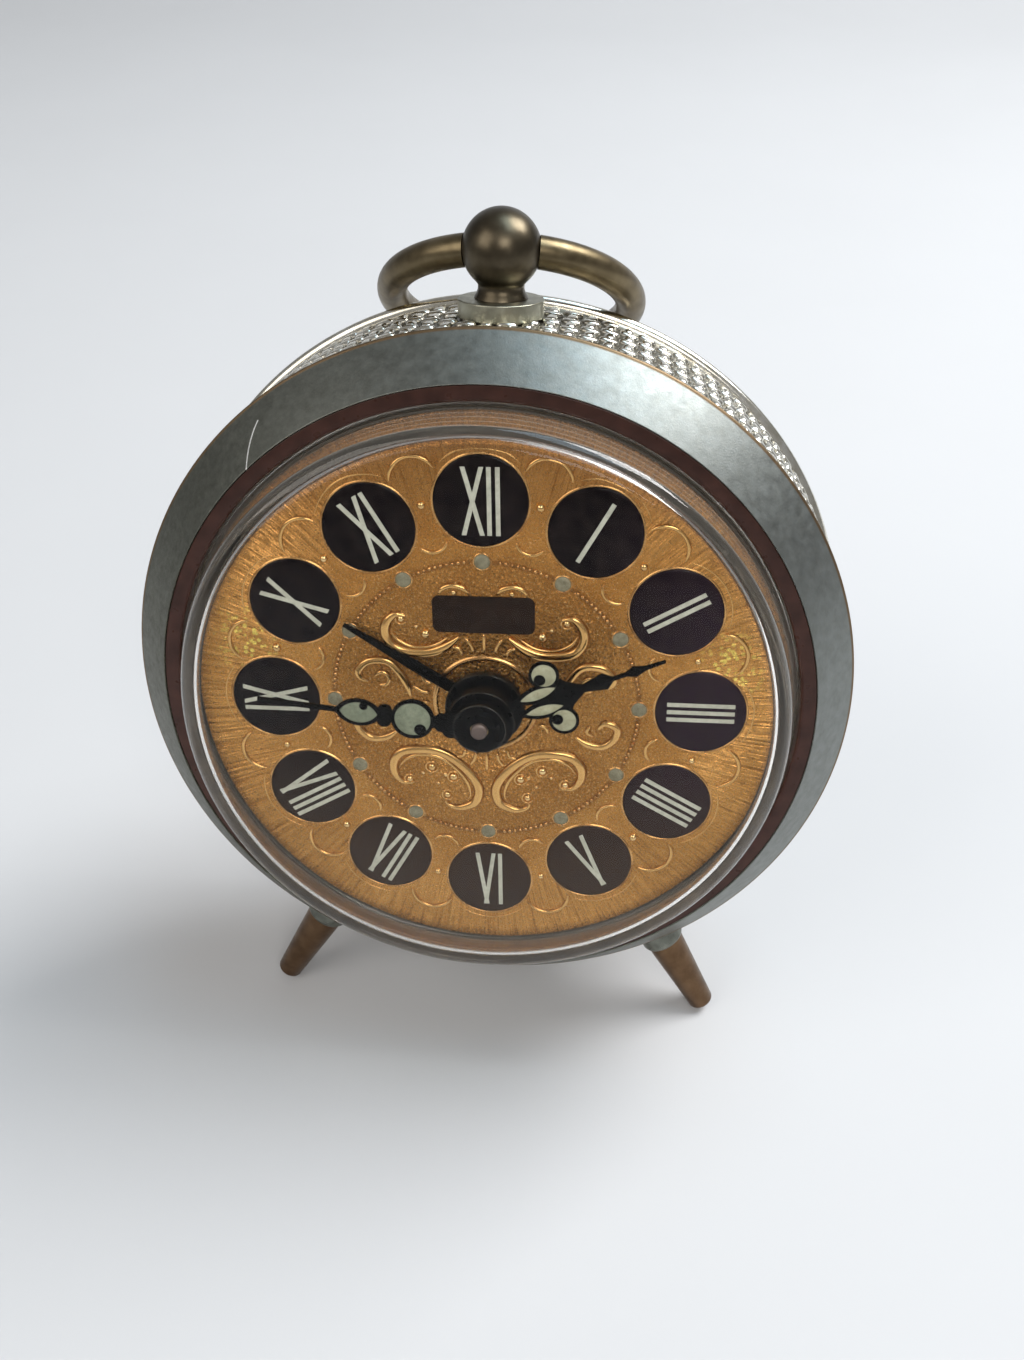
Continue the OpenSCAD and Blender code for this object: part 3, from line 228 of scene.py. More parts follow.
def metal(name, dark, light, rough=(0.25, 0.4), grain=0.5, dent=0.0):
    """A metal that is mottled between two colours, with an uneven polish and perhaps fine dents."""
    f = Finish(name)
    mottle = f.spread(f.noise(grain, 4.0), 0.3, 0.7)
    polish = f.spread(f.noise(grain * 3.1, 3.0), 0.3, 0.7, *rough)
    relief = {"Normal": f.bump(f.noise(grain * 9, 3.0), dent)} if dent else {}
    return f.done(f.surface(f.blend(mottle, dark, light), polish, Metallic=1.0, **relief))

print("finishes can be written")

# %% [markdown]
# The bezel is silver plate gone soft with handling: greenish grey and cloudy, with one long scratch
# at the upper left and a rubbed rim. Shade is painted darker into its colour towards the lower left,
# and light is painted paler towards the upper right. The brown ring inside it is lacquered. Both are
# one flat tone at first sight, so two sizes of noise cloud the silver, and a thin pale arc is drawn
# where the scratch is. Sizes are in millimetres, and depths run into the clock.

# %% Silver and brown lacquer
BAND_R = 39.6
BEZEL_OUT = BAND_R + 0.35
BEZEL_FRONT, BEZEL_BACK = -1.76, 3.1
SCRATCH_MIDDLE = (-24.4, 27.2)
SCRATCH_BOW, SCRATCH_REACH, SCRATCH_WIDTH = 7.5, 3.2, 0.14

def silver_plate():
    f = Finish("silver plate, clouded")
    x, y, z = f.split(f.place)
    cloud = f.spread(f.noise(0.75, 6.0, rough=0.62), 0.25, 0.75)
    speck = f.spread(f.noise(1.9, 5.0, rough=0.7), 0.42, 0.72)
    # Painted shade and light: the silver is darker at the lower left and paler at the upper right.
    left = f.blend(cloud, (0.080, 0.080, 0.060), (0.128, 0.131, 0.103))
    right = f.blend(cloud, (0.172, 0.182, 0.168), (0.24, 0.255, 0.245))
    tone = f.blend(f.spread(x + 0.5 * z + 6 * f.noise(0.08), -30.0, 40.0), left, right)
    tone = f.blend(speck * 0.25, tone, (0.27, 0.265, 0.235))
    radius = (x * x + z * z).root()
    rubbed = f.spread(radius, BEZEL_OUT - 0.06, BEZEL_OUT + 0.05) * (y > BEZEL_BACK - 0.3)
    tone = f.blend(rubbed, tone, (0.19, 0.13, 0.075))
    across, up = x - SCRATCH_MIDDLE[0], z - SCRATCH_MIDDLE[1]
    off_arc = abs(((across - SCRATCH_BOW) * (across - SCRATCH_BOW) + up * up).root() - SCRATCH_BOW)
    scratch = (off_arc < SCRATCH_WIDTH / 2) * (abs(up) < SCRATCH_REACH) * (y < BEZEL_BACK + 0.9)
    tone = f.blend(scratch, tone, (0.9, 0.9, 0.88))
    polish = f.spread(f.noise(0.9, 5.0), 0.3, 0.7, 0.36, 0.48)
    grain = f.bump(f.noise(5.0, 5.0, rough=0.7), 0.016)
    return f.done(f.surface(tone, polish, Metallic=1.0, Normal=grain))

def lacquer(name, colour, rough, shine, coat=0.0):
    """A lacquer that is a little cloudy in its tone and its polish."""
    f = Finish(name)
    cloud = f.spread(f.noise(0.5, 4.0), 0.3, 0.7)
    lighter = tuple(c * 1.7 + 0.002 for c in colour)
    polish = f.spread(f.noise(0.8, 2.0), 0.3, 0.7, rough * 0.9, rough * 1.2)
    return f.done(f.surface(f.blend(cloud, colour, lighter), polish, Coat_Weight=coat,
                            Coat_Roughness=0.08, Specular_IOR_Level=shine))

finishes = {
    "bezel_silver": silver_plate(),
    "bezel_brown": lacquer("brown lacquer", (0.032, 0.0115, 0.0075), 0.3, 0.25, 0.1),
    "plate_brown": lacquer("plate's dark brown", (0.0105, 0.0055, 0.0035), 0.25, 0.1),
    "flange_brown": lacquer("flange's brown", (0.045, 0.022, 0.014), 0.35, 0.3, 0.2),
    "hand_black": lacquer("hands' black", (0.0008, 0.0008, 0.0008), 0.12, 0.08),
    "hand_edge": lacquer("hands' rubbed edge", (0.009, 0.008, 0.006), 0.11, 0.5),
    "arbor_brown": lacquer("arbor's brown end", (0.06, 0.043, 0.036), 0.3, 0.5),
}

def medallion_lacquer():
    """Black at the upper left, purple where the right-hand ones catch light, brown low down."""
    f = Finish("medallions' dark lacquer")
    x, _, z = f.split(f.place)
    tone = f.blend(f.spread(x - 0.25 * z, 6.0, 22.0) * 0.8, (0.0032, 0.002, 0.0026), (0.020, 0.011, 0.018))
    tone = f.blend(f.spread(z, -4.0, -20.0), tone, (0.034, 0.021, 0.014))
    tone = f.blend(f.spread(f.noise(0.7, 4.0), 0.35, 0.7) * 0.35, tone, (0.03, 0.022, 0.02))
    return f.done(f.surface(tone, 0.17, Specular_IOR_Level=0.09))

finishes["medallion_dark"] = medallion_lacquer()
print("silver and lacquers:", len(finishes))

# %% [markdown]
# Outside, the ring is aged bronze and the ball a darker one. The washer under it is grey brass, the
# feet are a browner brass with grey collars, and a dull bronze ring lies behind the crystal's foot.
# Inside, the wheels and plates are bright clock brass and the arbors are steel. All of them are
# handled metal without a pattern, so one function mottles each between two tones of its own.

# %% Plain metals
finishes.update({
    "bronze": metal("aged bronze", (0.10, 0.076, 0.042), (0.205, 0.160, 0.092), (0.30, 0.40), 0.35, 0.003),
    "bronze_dark": metal("ball's darker bronze", (0.058, 0.046, 0.030), (0.114, 0.094, 0.063),
                         (0.29, 0.38), 0.3, 0.002),
    "washer_brass": metal("grey brass", (0.28, 0.27, 0.21), (0.42, 0.41, 0.32), (0.3, 0.45), 0.6, 0.008),
    "seat_bronze": metal("crystal seat's dull bronze", (0.085, 0.058, 0.036), (0.14, 0.10, 0.064),
                         (0.35, 0.5), 0.4),
    "foot_brass": metal("feet's brown brass", (0.118, 0.068, 0.036), (0.185, 0.112, 0.062),
                        (0.28, 0.42), 0.6, 0.004),
    "collar_grey": metal("dull grey metal", (0.12, 0.125, 0.105), (0.23, 0.235, 0.20), (0.25, 0.4), 0.7),
    "key_brass": metal("keys' worn brass", (0.44, 0.295, 0.125), (0.57, 0.41, 0.19),
                       (0.24, 0.34), 0.5, 0.002),
    "button_grey": metal("button and screws, grey", (0.24, 0.235, 0.22), (0.38, 0.37, 0.35),
                         (0.24, 0.38), 0.8),
    "steel": metal("plain steel", (0.42, 0.41, 0.39), (0.58, 0.57, 0.54), (0.22, 0.35), 1.0),
    "movement_brass": metal("clock brass", (0.56, 0.40, 0.17), (0.78, 0.60, 0.30), (0.2, 0.36), 0.5),
    "spring_blue": metal("blued spring steel", (0.05, 0.07, 0.13), (0.12, 0.16, 0.26), (0.2, 0.3), 0.8),
})
print("finishes so far:", len(finishes))

# %% [markdown]
# The band and the back are plated in a pale gold. On the band the tops of the weave stay pale and
# shade is painted dark down in its pits, so the radius picks the tone. The back is brushed upright
# and tarnishes near its edge. A noise that is stretched along one direction draws the brushing.

# %% Pale gold plate
TARNISH_FROM, TARNISH_FULL = 35.0, 42.5

def band_gold():
    """Pale gold on the tops of the weave, with painted shade dark down in its pits."""
    f = Finish("pale gold plate")
    x, _, z = f.split(f.place)
    proud = f.spread((x * x + z * z).root(), BAND_R - 0.22, BAND_R + 0.06)
    mottle = f.spread(f.noise(0.8, 4.0), 0.3, 0.7)
    bright = f.blend(mottle, (0.60, 0.56, 0.46), (0.82, 0.80, 0.73))
    # Painted shade: below the tops of the weave the colour goes dark in the pits.
    tone = f.blend(proud, (0.10, 0.085, 0.055), bright)
    return f.done(f.surface(tone, f.spread(proud, 0.0, 1.0, 0.45, 0.2), Metallic=1.0))

def cover_gold():
    """Pale plate with fine upright brushing, and tarnish gathered near the cover's edge."""
    f = Finish("back's pale plate")
    x, y, z = f.split(f.place)
    brushing = f.noise(1.0, 4.0, where=f.join(x * 7, y * 7, z * 0.35), rough=0.7)
    tarnish = f.spread((x * x + z * z).root() + 5 * f.noise(0.25, 4.0), TARNISH_FROM, TARNISH_FULL)
    tone = f.blend(f.spread(brushing, 0.35, 0.65), (0.44, 0.39, 0.28), (0.56, 0.51, 0.39))
    tone = f.blend(tarnish * 0.7, tone, (0.24, 0.19, 0.12))
    return f.done(f.surface(tone, f.spread(brushing, 0.3, 0.7, 0.26, 0.4), Metallic=1.0,
                            Normal=f.bump(brushing, 0.008)))

finishes["embossed_band"] = band_gold()
finishes["cover_plate"] = cover_gold()
print("finishes so far:", len(finishes))

# %% [markdown]
# The dial is pressed sheet under a copper-gold lacquer. Inside the circle of lume dots its ground is
# stippled like fine sand; outside it, fine lines run out from the middle to the edge. The two
# grounds are bump patterns that trade places at that circle. Yellow glints are painted highlights:
# fine specks on the sandy ground and a bright patch at the left and at the right. A dark ring of
# painted shade follows the bead chain, the lacquer is darker and redder towards the top, and the
# shade of the crystal's wall is painted dark on the rim.

# %% Copper-gold dial
DIAL_R = 32.2
DOT_CIRCLE = 16.85
BRUSHED_FROM = 25.0
GLINT_PATCH_ACROSS, GLINT_PATCH_UP = 26.3, 6
TOP_TINT_FROM, TOP_TINT_FULL = 12.0, 32.0

def dial_gold():
    f = Finish("dial's copper gold")
    x, _, z = f.split(f.place)
    radius = (x * x + z * z).root()
    stipple = f.cells(2.7) + 0.5 * f.noise(6.0, 3.0)
    rays = f.noise(1.0, 3.0, where=f.join(x.angle_to(z) * 60, radius * 0.07, 0.0), rough=0.72)
    sand = f.noise(3.0, 4.0, rough=0.7)
    outside = f.spread(radius, DOT_CIRCLE - 0.5, DOT_CIRCLE + 2.0)
    brushed = f.spread(radius, BRUSHED_FROM - 4.5, BRUSHED_FROM + 1.5)
    coarse = sand * (1 - brushed) * 1.2 + rays * (brushed * 2.6 + 0.4)
    ground = stipple * (1 - outside) + outside * coarse

    tone = f.blend(f.spread(f.noise(0.13, 3.0), 0.35, 0.65), (0.42, 0.192, 0.047), (0.54, 0.266, 0.073))
    pits = f.spread(stipple, 0.3, 0.9) * (1 - outside)
    tone = f.blend(pits * 0.55, tone, (0.27, 0.12, 0.033))
    streaks = f.spread(rays, 0.35, 0.68) * brushed
    tone = f.blend(streaks * 0.75, tone, (0.67, 0.37, 0.122))
    lines = f.spread(rays, 0.45, 0.25) * brushed
    tone = f.blend(lines * 0.6, tone, (0.22, 0.10, 0.035))
    # Painted shade: a dark ring under the bead chain stands in for the shade of its beads.
    painted_chain_shade = f.spread(abs(radius - DOT_CIRCLE), 0.42, 0.16)
    tone = f.blend(painted_chain_shade * 0.55, tone, (0.17, 0.07, 0.026))
    # Painted highlight: small yellow glints speckle the ground inside the brushed zone.
    painted_glints = f.spread(f.noise(4.5, 2.0), 0.60, 0.70) * (1 - brushed)
    tone = f.blend(painted_glints * 0.7, tone, (0.86, 0.60, 0.26))
    # Painted highlight: a bright yellow patch of glints at the left and at the right.
    across, up = abs(x) - GLINT_PATCH_ACROSS, z - GLINT_PATCH_UP
    glint_patch = f.spread((across * across + up * up * 0.6).root(), 4.2, 1.4)
    painted_sparkle = glint_patch * f.spread(f.cells(1.5), 0.46, 0.28)
    tone = f.blend(painted_sparkle * 0.8, tone, (0.86, 0.70, 0.17))
    tone = f.blend(f.spread(radius, DIAL_R - 1.3, DIAL_R - 0.2) * 0.6, tone, (0.19, 0.095, 0.038))
    # Darker and redder towards the top.
    aged = f.spread(z + 9 * f.noise(0.07, 2.0), TOP_TINT_FROM, TOP_TINT_FULL)
    tone = f.blend(aged * 0.45, tone, (0.30, 0.115, 0.034))
    polish = f.spread(sand, 0.3, 0.7, 0.2, 0.36)
    return f.done(f.surface(tone, polish, Metallic=0.97, Normal=f.bump(ground, 0.12)))

finishes["dial_copper"] = dial_gold()
print("finishes so far:", len(finishes))

# %% [markdown]
# The raised ornament is polished on its crests, and light and shade are painted into its colour: a
# bright painted highlight along the crest and painted shade where it leaves the ground. Noise doesn't
# know where a crest is, so each ridge carries an attribute that does, from 0 at its foot to 1. The
# lume and the numerals are matt paints: a fine powder in a binder, speckled, with no shine.

# %% Ridges, beads and paints
def ridge_gold():
    """Polished on the crest with a painted highlight there, and painted shade where the ridge leaves the ground.
    """
    f = Finish("dial's polished ridges")
    crest = f.node("ShaderNodeAttribute", {"attribute_name": "crest"}, out=2)
    mottle = f.blend(f.spread(f.noise(0.6, 4.0), 0.3, 0.7), (0.44, 0.197, 0.058), (0.60, 0.30, 0.09))
    # Painted shade: the colour goes dark towards the ridge's foot.
    tone = f.blend(f.spread(crest, 0.0, 0.45), (0.10, 0.042, 0.015), mottle)
    # Painted highlight: the colour is made bright on the crest and its shoulders; the lower roughness there is
    # real polish.
    tone = f.blend(f.spread(crest, 0.6, 1.0), tone, (0.88, 0.55, 0.205))
    return f.done(f.surface(tone, f.spread(crest, 0.2, 0.9, 0.4, 0.18), Metallic=1.0))

def powder(name, one, other, rough=0.7):
    f = Finish(name)
    tone = f.blend(f.spread(f.noise(1.4, 5.0, rough=0.7), 0.35, 0.68), one, other)
    return f.done(f.surface(tone, rough, Normal=f.bump(f.noise(9.0, 3.0), 0.02)))

finishes.update({
    "dial_ridge": ridge_gold(),
    "dial_bead": metal("dial's bright beads", (0.66, 0.38, 0.13), (0.92, 0.66, 0.32), (0.12, 0.2), 0.9),
    "dial_gold_edge": metal("thin gold edges", (0.40, 0.19, 0.065), (0.72, 0.42, 0.16), (0.16, 0.3), 0.45),
    "lume": powder("aged lume", (0.125, 0.112, 0.066), (0.225, 0.205, 0.135)),
    "lume_green": powder("minute hand's lume", (0.13, 0.152, 0.10), (0.22, 0.24, 0.17)),
    "lume_cream": powder("hour hand's lume", (0.26, 0.255, 0.16), (0.39, 0.385, 0.265)),
    "numeral": powder("numerals' cream paint", (0.35, 0.35, 0.28), (0.49, 0.49, 0.41), 0.55),
})
print("finishes so far:", len(finishes))

# %% [markdown]
# The crystal is moulded acrylic, thick enough to bend the dial's edge into rings. Real glass in a
# path tracer also blocks the lamps, so a transparent shader stands in for it where a shadow is
# asked for; the dial under it is then lit as it is in life. A pale room would lie on the whole
# front as a grey veil, so the tint of its mirror image is kept low. The wall is aged: a little of
# a pale, matt shader is mixed into it along its mould lines and scuffs.

# %% Clear crystal
ACRYLIC_BEND = 1.49
WALL_FROM, WALL_FULL = DIAL_R - 0.5, DIAL_R + 0.3
RIM_FROM, RIM_FULL = DIAL_R - 2.3, DIAL_R - 0.6

def acrylic():
    f = Finish("clear acrylic")
    x, y, z = f.split(f.place)
    radius = (x * x + z * z).root()
    wall = f.spread(radius, WALL_FROM, WALL_FULL)
    mould_lines = f.spread(abs((y * 1.15) % 1.0 - 0.5), 0.38, 0.48)
    scuffs = f.spread(f.noise(1.1, 6.0, rough=0.8), 0.5, 0.78)
    aged = f.blend(wall * 0.75, (0.99, 0.99, 0.985), (0.90, 0.86, 0.78))
    clear = f.surface(aged, wall * (scuffs * 0.06 + 0.03) + 0.01, IOR=ACRYLIC_BEND, Transmission_Weight=1.0,
                      Specular_Tint=(0.09, 0.09, 0.09, 1), Coat_Roughness=0.04,
                      Coat_Weight=f.spread(radius, RIM_FROM, RIM_FULL) * 0.7)
    hazed = f.surface((0.58, 0.53, 0.45), 0.5)
    haze = wall * (mould_lines * 0.20 + scuffs * 0.05 + 0.045)
    worn = f.node("ShaderNodeMixShader", None, {0: haze, 1: clear, 2: hazed})
    shadow_ray = f.node("ShaderNodeLightPath", out="Is Shadow Ray")
    through = f.node("ShaderNodeBsdfTransparent", None, {"Color": (0.96, 0.96, 0.95, 1)})
    return f.done(f.node("ShaderNodeMixShader", None, {0: shadow_ray, 1: worn, 2: through}))

finishes["crystal_clear"] = acrylic()
print("finishes in all:", len(finishes))

# %% [markdown]
# Most outer pieces were turned or spun, so they are drawn as a profile and swept round an axis.

# %% Making a piece
SMOOTH_TO = math.radians(32)
bodies = frame["record"]["behaviour"]["bodies"]
body_of_node = {node: body for body, nodes in bodies.items() for node in nodes}
slot_of_node = {s["node"]: s["material_slot"] for s in frame["record"]["subparts"]}

def finish_piece(name, mesh, body, slot, finish=None, stands_for=(), sharp=SMOOTH_TO):
    """An object at the origin with smooth faces, its finish and its place in the frame."""
    mesh.name = name
    for polygon in mesh.polygons:
        polygon.use_smooth = True
    mesh.set_sharp_from_angle(angle=sharp)
    mesh.materials.clear()
    mesh.materials.append(finishes[finish or slot])
    piece = bpy.data.objects.new(name, mesh)
    bpy.context.scene.collection.objects.link(piece)
    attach(piece, body)
    if stands_for:
        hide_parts(*stands_for)
    print("%s: %d faces" % (name, len(mesh.polygons)))

def mesh_from(points, faces, place):
    """A mesh of points in the maker's millimetres, carried to their place on the table."""
    mesh = bpy.data.meshes.new("drawn")
    mesh.from_pydata([place @ Vector(p) for p in points], [], faces)
    mesh.validate()
    return mesh

def rounded(profile, radius, closed=True, steps=4):
    """The profile with its corners rounded, each as far as its shorter side allows."""
    out, count = [], len(profile)
    for i, corner in enumerate(profile):
        p = Vector(corner)
        if not closed and i in (0, count - 1):
            out.append(tuple(p))
            continue
        before, after = Vector(profile[i - 1]) - p, Vector(profile[(i + 1) % count]) - p
        reach = min(radius, before.length * 0.45, after.length * 0.45)
        start, end = p + before.normalized() * reach, p + after.normalized() * reach
        for k in range(steps + 1):
            t = k / steps
            out.append(tuple((1 - t) ** 2 * start + 2 * t * (1 - t) * p + t * t * end))
    return out

def swept(profile, closed, segments):
    """Points and faces of a profile of (radius, depth) turned round the clock's depth."""
    points, faces, rings = [], [], []
    for radius, depth in profile:
        if radius < 1e-6:
            rings.append([len(points)] * segments)
            points.append((0, depth, 0))
            continue
        rings.append(list(range(len(points), len(points) + segments)))
        for s in range(segments):
            a = 2 * math.pi * s / segments
            points.append((radius * math.cos(a), depth, radius * math.sin(a)))
    pairs = list(zip(rings, rings[1:])) + ([(rings[-1], rings[0])] if closed else [])
    for one, other in pairs:
        for s in range(segments):
            t = (s + 1) % segments
            corners = list(dict.fromkeys((one[s], one[t], other[t], other[s])))
            if len(corners) > 2:
                faces.append(corners)
    return points, faces

def outward(mesh):
    """Turns every face of a closed mesh outwards."""
    work = bmesh.new()
    work.from_mesh(mesh)
    bmesh.ops.remove_doubles(work, verts=work.verts, dist=1e-7)
    bmesh.ops.recalc_face_normals(work, faces=work.faces)
    work.to_mesh(mesh)
    work.free()
    return mesh

def turned_mesh(profile, place, closed, segments):
    return outward(mesh_from(*swept(profile, closed, segments), place))

def turned(name, profile, body, slot, stands_for=(), place=CLOCK, closed=True, segments=256, **rest):
    """A piece of one turned profile, which is a ring where closed and otherwise solid to its axis."""
    mesh = turned_mesh(profile, place, closed, segments)
    finish_piece(name, mesh, body, slot, stands_for=stands_for, **rest)

print("pieces can be turned")

# %% [markdown]
# Pieces whose solid already has the right outline, such as the hands and levers, only lack what
# stamping leaves: a soft edge that catches the light. Beveling the CAD mesh itself isn't possible,
# since it is loose triangles, so a copy is merged, its flat faces are joined and its edges rounded.

# %% Stamped and milled pieces
def softened_mesh(node, edge, segments):
    """A copy of a CAD solid with its edges rounded by so many millimetres."""
    mesh = frame["nodes"][node].data.copy()
    work = bmesh.new()
    work.from_mesh(mesh)
    bmesh.ops.remove_doubles(work, verts=work.verts, dist=2e-6)
    bmesh.ops.dissolve_limit(work, angle_limit=math.radians(0.6), verts=work.verts, edges=work.edges)
    bmesh.ops.recalc_face_normals(work, faces=work.faces)
    crisp = [e for e in work.edges if len(e.link_faces) == 2 and e.calc_face_angle(0) > math.radians(34)]
    bmesh.ops.bevel(work, geom=crisp, offset=edge / 1000, segments=segments, profile=0.5,
                    affect="EDGES", clamp_overlap=True)
    work.to_mesh(mesh)
    work.free()
    return mesh

def softened(node, edge, segments=2, finish=None):
    mesh = softened_mesh(node, edge, segments)
    finish_piece(node + "_dressed", mesh, body_of_node[node], slot_of_node[node], finish,
                 stands_for=(node,), sharp=math.radians(40))

print("stamped pieces can be softened")

# %% [markdown]
# The bezel is spun from sheet: a straight silver slope from the brown ring back to a small rolled
# edge, which hooks over the band. The brown ring is a flat flange that holds the crystal down. Both
# are turned shapes, so a rounded profile swept round the axis gives their true smooth highlights.

# %% Bezel and its brown ring
BEZEL_IN = BEZEL_OUT - 4.3
BAND_WALL = 0.8
BAND_FRONT = BEZEL_BACK + 0.5
bezel_profile = rounded([
    (BEZEL_IN, BEZEL_FRONT + 0.16), (BEZEL_IN + 0.12, BEZEL_FRONT), (BEZEL_OUT, BEZEL_BACK),
    (BEZEL_OUT + 0.25, BEZEL_BACK + 0.2), (BEZEL_OUT + 0.25, BAND_FRONT), (BEZEL_OUT - 0.1, BAND_FRONT + 0.2),
    (BAND_R + 0.02, BAND_FRONT + 0.2), (BAND_R + 0.02, BAND_FRONT), (BAND_R - BAND_WALL, BAND_FRONT),
    (BAND_R - BAND_WALL - 0.05, BAND_FRONT + 3), (BAND_R - 2 * BAND_WALL, BAND_FRONT + 3),
    (BAND_R - 2 * BAND_WALL, BEZEL_BACK - 0.1), (BEZEL_IN + 0.4, BEZEL_FRONT + 1.9),
    (BEZEL_IN, BEZEL_FRONT + 1.9)], 0.16)
turned("bezel_dressed", bezel_profile, "case", "bezel_silver", ("bezel",))

RING_IN = BEZEL_IN - 1.65
RING_BACK, SEAT_FRONT = 1.4, 0.25
brown_profile = rounded([
    (BEZEL_IN, BEZEL_FRONT + 0.12), (BEZEL_IN, RING_BACK), (RING_IN + 0.8, RING_BACK),
    (RING_IN + 0.8, SEAT_FRONT), (RING_IN, SEAT_FRONT), (RING_IN, BEZEL_FRONT + 0.26),
    (RING_IN + 0.25, BEZEL_FRONT + 0.12)], 0.12)
turned("bezel_inner_ring_dressed", brown_profile, "case", "bezel_brown", ("bezel_inner_ring",))

# %% [markdown]
# The crystal is one thick moulding: a drafted wall, a full round at the front rim and a shallow dome.
# The thickness matters more than the outline, because the wall's inner face is what draws the bright
# rings round the dial. Both faces are therefore swept as one closed profile.

# %% Crystal
CRYSTAL_FOOT, CRYSTAL_WALL = RING_IN - 0.1, 1.4
CRYSTAL_RIM = CRYSTAL_FOOT - 1.05
CRYSTAL_RISE, CRYSTAL_CROWN = 6.2, 1.9
OUTER_ROUND, INNER_ROUND = 1.5, 1.2
FLANGE_OUT, FLANGE_WALL = 0.8, 0.7

def angles(start, stop, step):
    """Angles for an arc, counted in degrees and given in radians."""
    return [math.radians(a) for a in range(start, stop, step)]

def dome(rim, apex_depth, rise, steps):
    """Points of a shallow dome from its middle out to its rim, as radius and depth."""
    bow = (rim * rim + rise * rise) / (2 * rise)
    return [(rim * k / steps, apex_depth + bow - math.sqrt(bow * bow - (rim * k / steps) ** 2))
            for k in range(steps + 1)]

apex = -CRYSTAL_RISE - CRYSTAL_CROWN
outer_r, inner_r = CRYSTAL_RIM - OUTER_ROUND, CRYSTAL_RIM - CRYSTAL_WALL - INNER_ROUND
outer_dome = dome(outer_r, apex, CRYSTAL_CROWN * 0.97, 12)
inner_dome = dome(inner_r, apex + CRYSTAL_WALL, CRYSTAL_CROWN * 0.9, 12)
outer_roll = [(outer_r + OUTER_ROUND * math.sin(t), outer_dome[-1][1] + OUTER_ROUND * 1.1 * (1 - math.cos(t)))
              for t in angles(20, 91, 14)]
inner_roll = [(inner_r + INNER_ROUND * math.sin(t), inner_dome[-1][1] + INNER_ROUND * (1 - math.cos(t)))
              for t in angles(90, 19, -14)]
foot = [(CRYSTAL_FOOT, SEAT_FRONT), (CRYSTAL_FOOT + FLANGE_OUT, SEAT_FRONT),
        (CRYSTAL_FOOT + FLANGE_OUT, SEAT_FRONT + FLANGE_WALL),
        (CRYSTAL_FOOT - CRYSTAL_WALL, SEAT_FRONT + FLANGE_WALL), (CRYSTAL_FOOT - CRYSTAL_WALL, -0.4)]
turned("crystal_dressed", outer_dome + outer_roll + foot + inner_roll + inner_dome[::-1], "case",
       "crystal_clear", ("crystal",), closed=False, sharp=math.radians(50))

# %% [markdown]
# Behind the bezel the band is pressed with a fine basket weave: small pillows that turn by a quarter
# from one to the next, with dark pits between them. Drawing the weave as a bump would keep the
# outline smooth, but the photograph shows it standing proud, so Geometry Nodes lay real pillows
# round a turned band. The pillow is tiny and repeated hundreds of times, so it has few faces.

# %% The plain band under the weave
BAND_BACK = BAND_FRONT + 17
BEAD_R = 0.75
SUNK = 0.18
band_profile = [(BAND_R - BAND_WALL, BAND_FRONT), (BAND_R - 0.05, BAND_FRONT), (BAND_R, BAND_FRONT + 0.08),
                (BAND_R, BAND_FRONT + 0.7), (BAND_R - SUNK, BAND_FRONT + 0.85),
                (BAND_R - SUNK, BAND_BACK - 2.35), (BAND_R, BAND_BACK - 2.2),
                (BAND_R, BAND_BACK - 2 * BEAD_R)]
band_profile += [(BAND_R + BEAD_R * 1.1 * math.cos(t), BAND_BACK - BEAD_R + BEAD_R * math.sin(t))
                 for t in angles(-75, 76, 15)]
band_profile += [(BAND_R - 0.1, BAND_BACK), (BAND_R - BAND_WALL, BAND_BACK)]
turned("case_band_dressed", band_profile, "case", "embossed_band", ("case_band",))

# %% [markdown]
# A Geometry Nodes tree is built with the same helper class. Its group inputs carry names, so that
# the tree reads like a drawing with dimensions. The modifier takes values by each input's
# identifier, the result is read back as a plain mesh, and nothing live stays on the object.

# %% Growing a mesh from a node tree
class Plan(Graph):
    """A Geometry Nodes tree with named inputs."""

    def __init__(self, name, inputs):
        super().__init__(bpy.data.node_groups.new(name, "GeometryNodeTree"))
        face = self.tree.interface
        for key, value in inputs.items():
            kind = "NodeSocketInt" if isinstance(value, int) else "NodeSocketFloat"
            face.new_socket(key, in_out="INPUT", socket_type=kind).default_value = value
        face.new_socket("Material", in_out="INPUT", socket_type="NodeSocketMaterial")
        face.new_socket("Mesh", in_out="OUTPUT", socket_type="NodeSocketGeometry")
        self.inputs = inputs
        self.given = self.tree.nodes.new("NodeGroupInput")

    def ask(self, key):
        return Wire(self, self.given.outputs[key])

    def grow(self, geometry, finish, place):
        """The tree's result as a plain mesh, carried to its place, with nothing live left behind."""
        real = self.node("GeometryNodeRealizeInstances", None, {"Geometry": geometry})
        done = self.node("GeometryNodeSetMaterial", None, {
            "Geometry": real, "Material": self.ask("Material")})
        self.node("NodeGroupOutput", None, {"Mesh": done})
        seed = bpy.data.objects.new("seed", bpy.data.meshes.new("seed"))
        bpy.context.scene.collection.objects.link(seed)
        modifier = seed.modifiers.new("plan", "NODES")
        modifier.node_group = self.tree
        for item in self.tree.interface.items_tree:
            if item.in_out == "INPUT":
                modifier[item.identifier] = self.inputs.get(item.name, finish)
        depsgraph = bpy.context.evaluated_depsgraph_get()
        depsgraph.update()
        mesh = bpy.data.meshes.new_from_object(seed.evaluated_get(depsgraph), depsgraph=depsgraph)
        seed.modifiers.remove(modifier)
        bpy.data.objects.remove(seed)
        mesh.transform(place)
        return mesh

